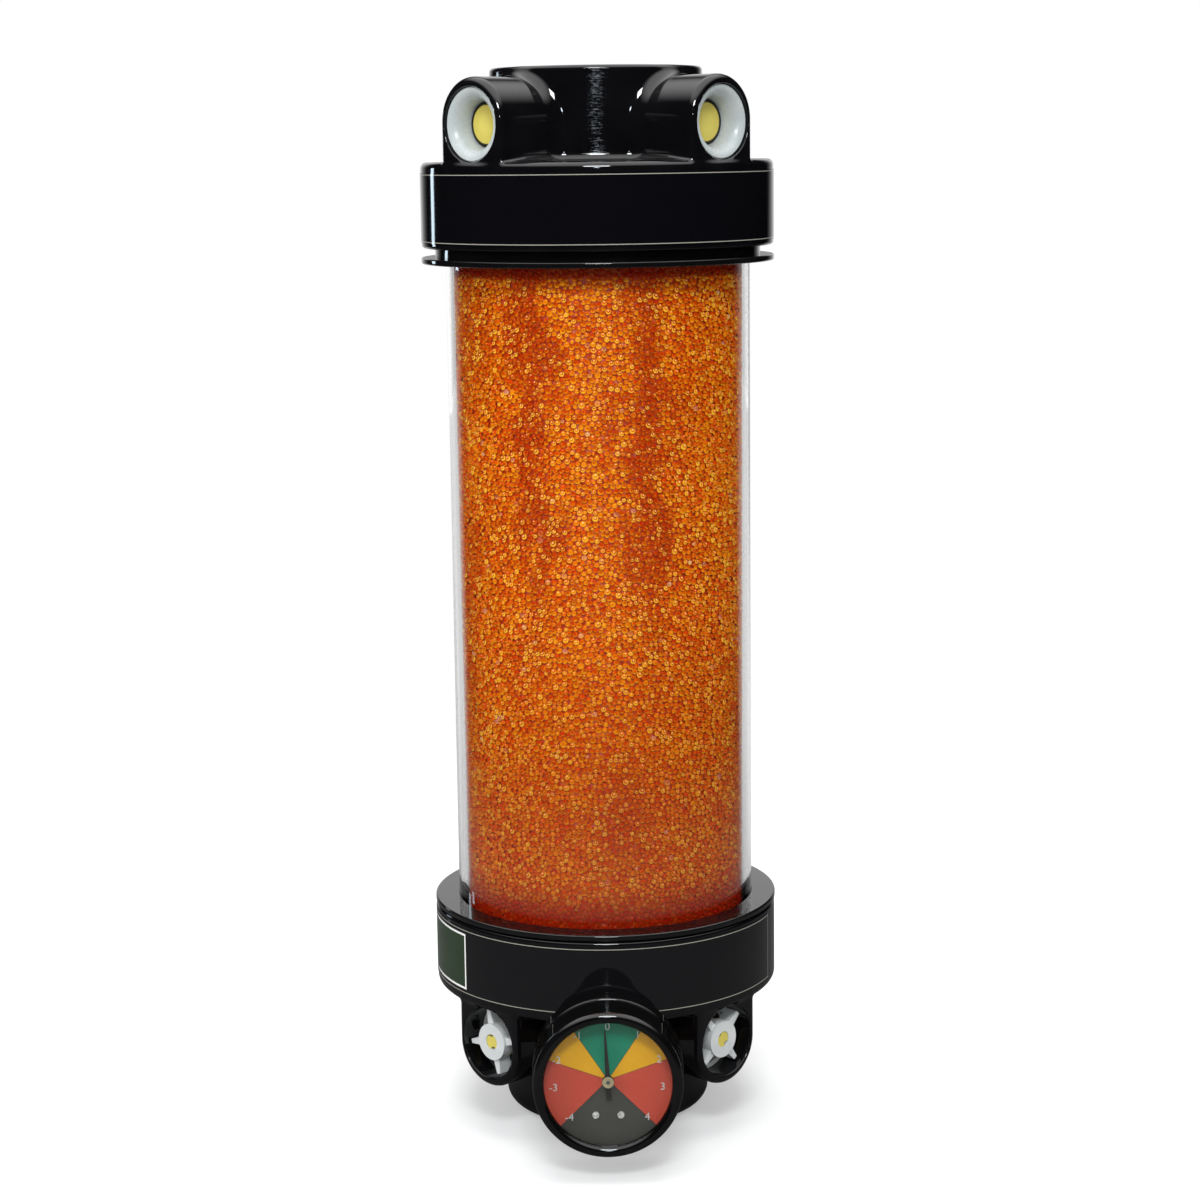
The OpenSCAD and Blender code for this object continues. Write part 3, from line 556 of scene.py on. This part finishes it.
def bed_material():
    """The gel behind the beads."""
    m = Maker("gel_behind")
    cells = m.node("ShaderNodeTexVoronoi")
    m.feed(cells.inputs["Vector"], m.places())
    m.feed(cells.inputs["Scale"], 300)
    gap = cells.outputs["Distance"]
    # Darker towards the cells' edges: painted shade in the crevices between the beads behind
    shade = m.mix(m.steps(gap, 0.1, 0.55), "#d25406", "#b83201")
    return m.done(m.shader(Base_Color=shade, Roughness=0.4, Normal=m.bump(gap, 0.8, 0.001)))


def label_material(name, band, colour, other, with_field):
    """Glossy film with a pale line inside each long edge; one label has a bare field and a seam."""
    m = Maker(name)
    low, high = (edge * MM for edge in band)
    x, y, z = m.split()
    film = m.mix(m.noise(60, 3), colour, other)
    for edge in (low + LINE_INSET, high - LINE_INSET):
        line = m.fall(m.apart(z, edge), LINE_WIDTH * 0.8, LINE_WIDTH * 1.3)
        film = m.mix(m.times(line, 0.75), film, "#a9a69a")
    if with_field:
        turn = m.math("ARCTAN2", x, m.times(y, -1.0))
        start, end, arm = math.radians(FIELD_START), math.radians(FIELD_END), SKIRT_R * MM
        across = m.math("SUBTRACT", m.apart(turn, (start + end) / 2), (end - start) / 2)
        up = m.math("SUBTRACT", m.apart(z, (low + high) / 2), (high - low) / 2 - FIELD_INSET)
        edge = m.math("MAXIMUM", m.times(across, arm), up)
        green = m.mix(m.noise(120, 3), "#20301f", "#2a3b27")
        for inset, fill in ((0.0, "#e8e8e4"), (FIELD_BORDER, green)):
            film = m.mix(m.fall(edge, -inset - FIELD_SOFT, -inset + FIELD_SOFT), film, fill)
        seam = m.times(m.apart(turn, math.radians(SEAM_AT)), arm)
        film = m.mix(m.fall(seam, 0.0004, 0.0008, 0.9), film, "#77777c")
    dull = m.swing(m.noise(35, 3), 0.06, 0.03)
    relief = m.bump(m.noise(25, 1), 0.04, 0.0008)
    return m.done(m.shader(Base_Color=film, Roughness=dull, IOR=1.5, Normal=relief))


def dial_material():
    """Printed colour fields round the arbor, parted by fine dark lines."""
    m = Maker("dial_print")
    x, _, z = m.split()
    up = m.math("SUBTRACT", z, GAUGE_Z * MM)
    turn = m.math("ABSOLUTE", m.math("ARCTAN2", x, up))
    reach = m.reach(x, up)
    grain = m.noise(900, 2)
    edges = [math.radians(angle) for angle in DIAL_EDGES]
    soft = 0.004
    colour = m.mix(grain, *DIAL_FIELDS[-1])
    for edge, pair in reversed(list(zip(edges, DIAL_FIELDS))):
        colour = m.mix(m.fall(turn, edge - soft, edge + soft), colour, m.mix(grain, *pair))
    for edge in edges:
        line = m.fall(m.times(m.apart(turn, edge), reach), 0.00008, 0.00016)
        colour = m.mix(m.times(line, 0.8), colour, "#2b2b24")
    relief = m.bump(m.noise(2500, 2), 0.05, 0.0002)
    return m.done(m.shader(Base_Color=colour, Roughness=0.42, Normal=relief))


def poppet_material():
    """Yellow plastic, with painted shade darker outwards over its face and a dark ring of painted
    shade in the gap round its nose.
    """
    m = Maker("poppet_yellow")
    x, y, z = m.split()
    aside = m.math("SUBTRACT", m.math("ABSOLUTE", x), m.math("ABSOLUTE", y))
    level = m.steps(z, 0.2, 0.21, LOW_PORT_Z * MM, HIGH_PORT_Z * MM)
    reach = m.reach(m.times(aside, math.sqrt(0.5)), m.math("SUBTRACT", z, level))
    tint = m.mix(m.noise(160, 4), "#d4c763", "#c6b651")
    # Painted shade, darker outwards from the middle of the face
    tint = m.mix(m.steps(reach, 0.0030, 0.0062, 0.0, 0.25), tint, "#ac9432")
    edge = NOSE_R * MM
    # A dark ring of painted shade in the gap between the nose and the seat
    tint = m.mix(m.steps(reach, edge - 0.0014, edge - 0.0009), tint, "#17140a")
    relief = m.bump(m.noise(640, 2), 0.06, 0.0003)
    return m.done(m.shader(Base_Color=tint, Roughness=0.36, Normal=relief, Subsurface_Weight=0.15,
                           Subsurface_Radius=(0.003, 0.002, 0.001)))


def needle_material():
    """Black blade and a pale hub."""
    m = Maker("needle")
    x, _, z = m.split()
    hub = m.fall(m.reach(x, m.math("SUBTRACT", z, GAUGE_Z * MM)), 0.00225, 0.0024)
    colour = m.mix(hub, "#1b1b1c", "#cdbf97")
    colour = m.mix(m.times(m.noise(700, 3), 0.3), colour, "#3a382f")
    return m.done(m.shader(Base_Color=colour, Roughness=0.35, Metallic=m.times(hub, 0.5)))


BLACK = gloss_black("cap_plastic", "#08080a", "#0c0c0e", 0.05, 0.10, 0.05, 0.22)
COLLAR = gloss_black("collar_plastic", "#0a0a0b", "#0f0f10", 0.05, 0.08, 0.04)
GAUGE = gloss_black("gauge_paint", "#070707", "#0b0b0c", 0.06, 0.06, 0.08)
RUBBER = plain("rubber", "#161616", "#222222", 0.6, 300)
TUBE = clear("clear_tube", 1.49, 0.02)
LENS = clear("gauge_glass", 1.5, 0.012)
SEAT = plain("seat_white", "#b4bab9", "#a9b1b1", 0.28, 90, bump=0.03, Subsurface_Weight=0.25,
             Subsurface_Radius=(0.004, 0.004, 0.004))
GUIDE = plain("guide_milky", "#d0d2d1", "#c4c8c8", 0.3, 120, bump=0.05, Subsurface_Weight=0.5,
              Subsurface_Radius=(0.006, 0.006, 0.006))
POPPET = poppet_material()
STEEL = plain("bright_steel", "#b9bbbd", "#9fa2a5", 0.28, 400, metal=1.0)
SCREW = plain("bright_screw", "#f4f4ee", "#8c8c84", 0.25, 1500, metal=0.2, bump=0.5)
BRASS = plain("turned_brass", "#c39a4a", "#a97f35", 0.3, 300, metal=1.0, grain=(1, 6, 1))
FELT = plain("felt", "#dcdcd6", "#c4c4bc", 0.95, 700, bump=0.6)
PRINT_WHITE = plain("print_white", "#cdcdc9", "#bcbcb8", 0.45, 900)

MATERIALS = {
    "bottom_collar": COLLAR, "top_collar": COLLAR,
    "bottom_seal_ring": RUBBER, "top_seal_ring": RUBBER, "valve_seal_rings": RUBBER,
    "lens_gasket": RUBBER, "tube": TUBE, "gauge_lens": LENS,
    "lower_pad": FELT, "upper_pad": FELT, "lower_screen": STEEL, "upper_screen": STEEL,
    "gauge_case": GAUGE, "gauge_bezel": GAUGE, "gauge_socket": BRASS, "bourdon_tube": BRASS,
    "movement_plate": BRASS, "gauge_arbor": STEEL, "dial_screws": SCREW,
    "gauge_dial": dial_material(), "gauge_needle": needle_material(),
    "top_label": label_material("top_film", TOP_LABEL, "#07070a", "#0a0a0d", False),
    "bottom_label": label_material("bottom_film", BOTTOM_LABEL, "#0c0c0e", "#101012", True),
}
for kind, material in (("seat", SEAT), ("guide", GUIDE), ("poppet", POPPET), ("spring", STEEL)):
    for name in nodes:
        if f"_{kind}_" in name:
            MATERIALS[name] = material
for name, material in MATERIALS.items():
    nodes[name].data.materials.clear()
    nodes[name].data.materials.append(material)


# Smooth shading of the CAD nodes, with sharp edges kept

def smooth_group(limit):
    """Nodes that weld a mesh and shade it smooth, but for edges over a limit in degrees."""
    tree = bpy.data.node_groups.new("smooth_by_angle", "GeometryNodeTree")
    tree.interface.new_socket("Geometry", in_out="INPUT", socket_type="NodeSocketGeometry")
    tree.interface.new_socket("Geometry", in_out="OUTPUT", socket_type="NodeSocketGeometry")
    add, link = tree.nodes.new, tree.links.new
    start, end = add("NodeGroupInput"), add("NodeGroupOutput")
    plain_normals = add("GeometryNodeRemoveAttribute")
    plain_normals.inputs["Name"].default_value = "custom_normal"
    weld = add("GeometryNodeMergeByDistance")
    weld.inputs["Distance"].default_value = WELD
    faces, edges = add("GeometryNodeSetShadeSmooth"), add("GeometryNodeSetShadeSmooth")
    faces.domain, edges.domain = "FACE", "EDGE"
    faces.inputs["Shade Smooth"].default_value = True
    edges.inputs["Shade Smooth"].default_value = False
    angle, over = add("GeometryNodeInputMeshEdgeAngle"), add("FunctionNodeCompare")
    over.operation = "GREATER_THAN"
    over.inputs["B"].default_value = math.radians(limit)
    link(start.outputs[0], plain_normals.inputs["Geometry"])
    link(plain_normals.outputs[0], weld.inputs["Geometry"])
    link(weld.outputs[0], faces.inputs["Geometry"])
    link(faces.outputs[0], edges.inputs["Geometry"])
    link(angle.outputs["Unsigned Angle"], over.inputs["A"])
    link(over.outputs[0], edges.inputs["Selection"])
    link(edges.outputs[0], end.inputs[0])
    return tree


SMOOTH = smooth_group(SHARP_ANGLE)
for node in nodes.values():
    node.modifiers.new("smooth", "NODES").node_group = SMOOTH
    node.modifiers.new("weighted", "WEIGHTED_NORMAL").keep_sharp = True


# Caps, with the fillets of the real mouldings

def cap_lines(boss_h, boss_edge):
    """Grid lines outwards and upwards, close together where a cap is rounded."""
    r_lines = grid_lines((0, 2, 2), (2, 36, 3.4), (36, 50, 1.0), (50, 66, 1.6), (66, 70, 0.8),
                         (70, 74.4, 0.4))
    z_lines = grid_lines((-1, 2, 0.4), (2, 31, 2.4), (31, 41, 0.7), (41, 70, 1.1),
                         (70, boss_h - boss_edge, 1.3), (boss_h - boss_edge, boss_h + 1, 0.6))
    return r_lines, z_lines


TOP_PLACE = Matrix.Translation((0, 0, HIGH_RIM_Z))
BOTTOM_PLACE = Matrix.Translation((0, 0, LOW_RIM_Z)) @ Matrix.Rotation(math.pi, 4, "X")
cap_piece("top_cap", top_cap_field, *cap_lines(TOP_BOSS_H, TOP_EDGE_R), TOP_PLACE, BLACK)
cap_piece("bottom_cap", bottom_cap_field, *cap_lines(BOTTOM_BOSS_H, FOOT_EDGE_R), BOTTOM_PLACE,
          BLACK)


# Gel beads against the tube's wall

def scatter(girth, height, radii, rng, rounds=90, push_share=0.3):
    """Places of discs that crowd a sheet with joined sides, pushed apart till they hardly overlap."""
    count = len(radii)
    columns = max(1, round(math.sqrt(count * girth / height)))
    rows = math.ceil(count / columns)
    slots = rng.permutation(columns * rows)[:count]
    places = np.stack([slots % columns, slots // columns], 1) + rng.random((count, 2))
    places = places * [girth / columns, height / rows]
    cell = 2 * radii.max()
    wide, tall = int(girth // cell), int(height // cell)
    me = np.arange(count)
    for _ in range(rounds):
        u = (places[:, 0] / girth * wide).astype(int) % wide
        v = np.clip((places[:, 1] / height * tall).astype(int), 0, tall - 1)
        key = u * tall + v
        order = np.argsort(key, kind="stable")
        first = np.searchsorted(key[order], np.arange(wide * tall))
        rank = np.empty(count, int)
        rank[order] = np.arange(count) - first[key[order]]
        table = np.full((wide, tall + 2, rank.max() + 1), -1)
        table[u, v + 1, rank] = me
        push = np.zeros((count, 2))
        for du in (-1, 0, 1):
            for dv in (-1, 0, 1):
                for other in table[(u + du) % wide, v + 1 + dv].T:
                    away = places - places[other]
                    away[:, 0] -= girth * np.round(away[:, 0] / girth)
                    apart = np.hypot(*away.T)
                    over = radii + radii[other] - apart
                    hit = (other >= 0) & (other != me) & (over > 0)
                    force = np.where(hit, over / np.maximum(apart, 1e-6), 0)
                    push += force[:, None] * away * push_share
        places = places + push
        places[:, 0] %= girth
        places[:, 1] = np.clip(places[:, 1], radii, height - radii)
    return places


def bead_template():
    """Outward cap of a sphere: points, triangles and how far each point is from the pole."""
    points, polar, spans = [], [], []
    for row, (angle, count) in enumerate(BEAD_RINGS, 1):
        spans.append((len(points), count))
        for i in range(count):
            turn = 2 * math.pi * (i + 0.5 * (row % 2)) / count
            a = math.radians(angle)
            points.append((math.cos(a), math.sin(a) * math.cos(turn), math.sin(a) * math.sin(turn)))
            polar.append(angle / BEAD_RINGS[-1][0])
    turns = [math.atan2(point[2], point[1]) % (2 * math.pi) for point in points]

    def next_turn(ring, k):
        """The turn of the point after the k-th one, or no end once the ring is closed."""
        if k >= len(ring):
            return math.inf
        return turns[ring[(k + 1) % len(ring)]] + 2 * math.pi * ((k + 1) // len(ring))

    triangles = []
    for (s, n), (t, m) in zip(spans, spans[1:]):
        inner = sorted(range(s, s + n), key=lambda k: turns[k])
        outer = sorted(range(t, t + m), key=lambda k: turns[k])
        if n == 1:
            triangles += [(s, outer[k], outer[(k + 1) % m]) for k in range(m)]
            continue
        i = j = 0
        while i < n or j < m:
            if j < m and next_turn(outer, j) <= next_turn(inner, i):
                triangles.append((inner[i % n], outer[j % m], outer[(j + 1) % m]))
                j += 1
            else:
                triangles.append((inner[i % n], outer[j % m], inner[(i + 1) % n]))
                i += 1
    return np.array(points), np.array(triangles), np.array(polar)


def make_beads():
    """Beads in pieces round the tube, each with its tone, the strength of its painted glint and its
    lift, which places painted shade and light, in the attribute bead.
    """
    rng = np.random.default_rng(BEAD_SEED)
    height = BED_HIGH - BED_LOW
    girth = 2 * math.pi * (BED_R - BEAD_MEAN)
    count = int(BEAD_COVER * girth * height / (math.pi * BEAD_MEAN ** 2))
    radii = np.clip(rng.normal(BEAD_MEAN, BEAD_SPREAD, count), BEAD_LEAST, BEAD_MOST)
    places = scatter(girth, height, radii, rng)
    turn = places[:, 0] / (BED_R - BEAD_MEAN)
    sunk = rng.random(count) ** 2 * BEAD_SINK
    reach = BED_R - radii - sunk
    centres = np.stack([reach * np.cos(turn), reach * np.sin(turn), places[:, 1] + BED_LOW], 1)
    points, triangles, polar = bead_template()
    spin = rng.random(count) * 2 * math.pi
    c, s = np.cos(spin)[:, None], np.sin(spin)[:, None]
    side = points[:, 1] * c - points[:, 2] * s
    rise = points[:, 1] * s + points[:, 2] * c
    tilt = math.radians(BEAD_TILT)
    out = points[:, 0] * math.cos(tilt) - rise * math.sin(tilt)
    rise = points[:, 0] * math.sin(tilt) + rise * math.cos(tilt)
    ct, st = np.cos(turn)[:, None], np.sin(turn)[:, None]

    def turned(outwards):
        return np.stack([outwards * ct - side * st, outwards * st + side * ct, rise], 2)

    pressed = turned(BEAD_DEPTH * out + (1 - BEAD_DEPTH))
    world = centres[:, None] + pressed * radii[:, None, None]
    tone, glint = rng.random(count), rng.random(count)
    # The lift places painted shade on a bead's upper rim and painted light in its lower half
    lifted = 0.5 + 0.5 * rise
    # Light passes through a bead, so its shading is that of a flatter form
    outward = np.stack([np.cos(turn), np.sin(turn), np.zeros(count)], 1)[:, None]
    soft = BEAD_ROUNDNESS * turned(out) + (1 - BEAD_ROUNDNESS) * outward
    soft /= np.linalg.norm(soft, axis=2, keepdims=True)
    sector = np.minimum((places[:, 0] / girth * BEAD_PIECES).astype(int), BEAD_PIECES - 1)
    material = bead_material()
    for part in range(BEAD_PIECES):
        mine = np.flatnonzero(sector == part)
        name = f"gel_beads_{part + 1}"
        starts = np.arange(len(mine)) * len(points)
        mesh = mesh_of(name, world[mine].reshape(-1, 3),
                       (triangles[None] + starts[:, None, None]).reshape(-1, 3))
        facts = np.ones((len(mine), len(points), 4), np.float32)
        facts[..., 0], facts[..., 1] = tone[mine][:, None], glint[mine][:, None]
        facts[..., 2], facts[..., 3] = polar[None], lifted[mine]
        bead = mesh.attributes.new("bead", "FLOAT_COLOR", "POINT")
        bead.data.foreach_set("color", facts.ravel())
        mesh.normals_split_custom_set_from_vertices(soft[mine].reshape(-1, 3).astype(np.float32))
        mesh.materials.append(material)
        add_object(name, mesh, "housing", ["silica_gel"])


def make_bed():
    """A plain sleeve of gel that closes the gaps between the beads."""
    name, outer, inner = "gel_behind", BED_R - SLEEVE_FRONT, BED_R - SLEEVE_BACK
    profile = np.array([(outer, BED_LOW), (outer, BED_HIGH), (inner, BED_HIGH), (inner, BED_LOW)])
    angle = np.arange(BED_TURNS) * 2 * math.pi / BED_TURNS
    radius, level = profile.T
    n = len(profile)
    points = np.stack([np.outer(np.cos(angle), radius), np.outer(np.sin(angle), radius),
                       np.broadcast_to(level, (BED_TURNS, n))], 2).reshape(-1, 3)
    i, j = np.meshgrid(np.arange(BED_TURNS), np.arange(n), indexing="ij")
    next_i, next_j = (i + 1) % BED_TURNS, (j + 1) % n
    faces = np.stack([i * n + j, next_i * n + j, next_i * n + next_j, i * n + next_j], 2)
    mesh = mesh_of(name, points, faces.reshape(-1, 4))
    mesh.set_sharp_from_angle(angle=math.radians(SHARP_ANGLE))
    mesh.materials.append(bed_material())
    add_object(name, mesh, "housing", ["silica_gel"])


make_beads()
make_bed()


# Valve springs, welded and shaded smooth

def coil(name):
    """The spring's own mesh, welded and shaded smooth, in place of its CAD node."""
    flow, _, end, side = name.split("_")
    mesh = nodes[name].data.copy()
    mesh.transform(nodes[name].matrix_world)
    work = bmesh.new()
    work.from_mesh(mesh)
    bmesh.ops.remove_doubles(work, verts=work.verts, dist=WELD)
    work.to_mesh(mesh)
    work.free()
    if "custom_normal" in mesh.attributes:
        mesh.attributes.remove(mesh.attributes["custom_normal"])
    mesh.shade_smooth()
    mesh.set_sharp_from_angle(angle=math.radians(COIL_SHARP_ANGLE))
    piece = bpy.data.objects.new(name + "_coil", mesh)
    bpy.context.scene.collection.objects.link(piece)
    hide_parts(name)
    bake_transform(piece)


for name in sorted(n for n in nodes if "_spring_" in n):
    coil(name)


# Numbers on the dial

def dial_number(name, word, turn):
    """A printed number at an angle from the top of the dial."""
    curve = bpy.data.curves.new("number", "FONT")
    curve.body = word
    curve.size = NUMBER_SIZE
    curve.align_x, curve.align_y = "CENTER", "CENTER"
    curve.extrude = NUMBER_DEPTH
    made = bpy.data.objects.new("number", curve)
    bpy.context.scene.collection.objects.link(made)
    bpy.context.view_layer.update()
    shown = made.evaluated_get(bpy.context.evaluated_depsgraph_get())
    mesh = bpy.data.meshes.new_from_object(shown)
    bpy.data.objects.remove(made)
    place = Matrix.Translation((math.sin(turn) * NUMBER_REACH, -DIAL_FRONT * MM - NUMBER_LIFT,
                                GAUGE_Z * MM + math.cos(turn) * NUMBER_REACH))
    mesh.transform(place @ Matrix.Rotation(math.pi / 2, 4, "X"))
    mesh.materials.clear()
    mesh.materials.append(PRINT_WHITE)
    mesh.name = name
    add_object(name, mesh, "housing")


for angle, word in DIAL_NUMBERS:
    dial_number(f"dial_number_{angle}", word, math.radians(angle))
    if angle:
        dial_number(f"dial_number_minus_{angle}", "-" + word, -math.radians(angle))


# Stage

def area_light(name, place, target, size, power, colour=(1, 1, 1), mirrored=True):
    """A soft box that isn't seen itself, also not through clear pieces."""
    data = bpy.data.lights.new(name, "AREA")
    data.shape = "RECTANGLE"
    data.size, data.size_y = size
    data.energy = power
    data.color = colour
    lamp = bpy.data.objects.new(name, data)
    bpy.context.scene.collection.objects.link(lamp)
    lamp.location = place
    lamp.rotation_euler = (Vector(target) - Vector(place)).to_track_quat("-Z", "Y").to_euler()
    lamp.visible_camera = False
    lamp.visible_transmission = False
    lamp.visible_glossy = mirrored


area_light("front_box", (0.0, -1.35, 1.25), (0, 0, 0.25), (0.42, 0.30), 14.5, (0.96, 0.98, 1.0))
area_light("front_low", (0.0, -1.75, 0.72), (0, 0, 0.3), (0.10, 0.10), 1.2, (0.80, 0.90, 1.0))
area_light("left_strip", (-0.92, 0.80, 0.42), (0, 0, 0.40), (0.10, 0.22), 0.45, (0.72, 0.88, 1.0))
area_light("over_box", (0.0, 0.05, 1.6), (0, 0, 0.3), (1.0, 1.2), 14.0, mirrored=False)
area_light("left_fill", (-1.3, -0.8, 0.7), (0, 0, 0.25), (0.5, 0.6), 6.4, mirrored=False)


def make_world():
    """White to the camera and to scattered light, with a level of its own for sharp rays."""
    world = bpy.data.worlds.new("studio")
    bpy.context.scene.world = world
    world.use_nodes = True
    m = Maker("studio", world.node_tree)
    x, y, z = m.split(m.node("ShaderNodeTexCoord").outputs["Generated"])
    path = m.node("ShaderNodeLightPath").outputs
    aslant = m.aslant(x, y)
    behind = m.times(m.steps(y, 0.8, 0.98, 0.0, 0.95),
                     m.steps(m.math("ABSOLUTE", x), 0.12, 0.6, 1.0, 0.45))
    # Rays that graze an upright wall see a grey strip, so that the tube keeps an outline
    grazing = m.times(m.fall(z, 0.10, 0.16), m.fall(aslant, 0.10, 0.20))
    behind = m.times(behind, m.steps(grazing, 0.0, 1.0, 1.0, 0.4))
    above = m.steps(z, 0.5, 0.85, 0.0, 2.4)
    mirrored = m.times(m.math("MAXIMUM", behind, above), path["Is Glossy Ray"])
    # Rays through the tube's wall see light only where they go on to the back
    through = m.times(m.steps(y, 0.0, 0.1), m.fall(aslant, 0.5, 1.3, 0.66),
                      path["Is Transmission Ray"])
    sharp = m.math("MAXIMUM", path["Is Glossy Ray"], path["Is Transmission Ray"])
    level = m.math("ADD", m.math("ADD", mirrored, through), m.math("SUBTRACT", 1.0, sharp))
    sky = m.node("ShaderNodeBackground")
    m.feed(sky.inputs["Strength"], m.math("MAXIMUM", level, path["Is Camera Ray"]))
    m.feed(sky.inputs["Color"], (1, 1, 1))
    out = m.node("ShaderNodeOutputWorld")
    m.tree.links.new(sky.outputs[0], out.inputs["Surface"])


def make_floor():
    """A pale floor that keeps the shadow and goes over into white, darker to mirrored rays."""
    half = FLOOR_HALF
    mesh = bpy.data.meshes.new("floor")
    mesh.from_pydata([(-half, -half, 0), (half, -half, 0), (half, half, 0), (-half, half, 0)], [],
                     [(0, 1, 2, 3)])
    floor = bpy.data.objects.new("floor", mesh)
    bpy.context.scene.collection.objects.link(floor)
    floor.location.z = -FLOOR_DROP
    m = Maker("floor")
    x, y, _ = m.split()
    away, aslant, back = m.reach(x, y), m.aslant(x, y), m.steps(y, 0.0, 0.1)
    path = m.node("ShaderNodeLightPath").outputs
    through = m.times(path["Is Transmission Ray"], m.times(back, m.fall(aslant, 0.5, 1.3, 0.62)))
    seen = m.math("MAXIMUM", path["Is Camera Ray"], through)
    # The world's grey strip goes on over the floor
    grazing = m.times(m.steps(y, 0.25, 0.45), m.fall(aslant, 0.4, 0.9, 0.5))
    seen = m.math("MAXIMUM", seen, m.times(path["Is Glossy Ray"], grazing))
    sharp = m.math("MAXIMUM", path["Is Glossy Ray"], path["Is Transmission Ray"])
    mirrored = m.mix(m.steps(away, 0.25, 0.85), "#525252", "#141414")
    lit = m.mix(sharp, "#8f8f8f", mirrored)
    matt = m.node("ShaderNodeBsdfDiffuse")
    m.feed(matt.inputs["Color"], m.mix(seen, lit, m.mix(m.noise(8, 3), "#cacaca", "#cdcdcd")))
    glow = m.node("ShaderNodeEmission")
    m.feed(glow.inputs["Strength"], m.times(seen, 0.28))
    lift = m.node("ShaderNodeAddShader")
    m.feed(lift.inputs[0], matt.outputs[0])
    m.feed(lift.inputs[1], glow.outputs[0])
    white = m.node("ShaderNodeEmission")
    far = m.times(m.steps(away, 0.25, 0.9), seen)
    mesh.materials.append(m.done(m.mix_shaders(far, lift.outputs[0], white.outputs[0])))


make_world()
make_floor()

# Camera, from the photograph's viewpoint
PITCH, ROLL = math.radians(9.605), math.radians(-0.708)
CAMERA_PLACE = (-0.00084, -1.13136, 0.41289)
FOCAL_PIXELS, FRAME_PIXELS, SENSOR = 2681.8, 1200, 36.0
camera_data = bpy.data.cameras.new("camera")
camera_data.sensor_width = SENSOR
camera_data.lens = FOCAL_PIXELS / FRAME_PIXELS * SENSOR
camera = bpy.data.objects.new("camera", camera_data)
bpy.context.scene.collection.objects.link(camera)
ahead = Vector((0, math.cos(PITCH), -math.sin(PITCH)))
right, up = Vector((1, 0, 0)), Vector((0, math.sin(PITCH), math.cos(PITCH)))
turned_right = right * math.cos(ROLL) + up * math.sin(ROLL)
turned_up = up * math.cos(ROLL) - right * math.sin(ROLL)
camera.matrix_world = Matrix.Translation(CAMERA_PLACE) @ Matrix(
    (turned_right, turned_up, -ahead)).transposed().to_4x4()
bpy.context.scene.camera = camera
bpy.context.scene.view_settings.view_transform = "Standard"
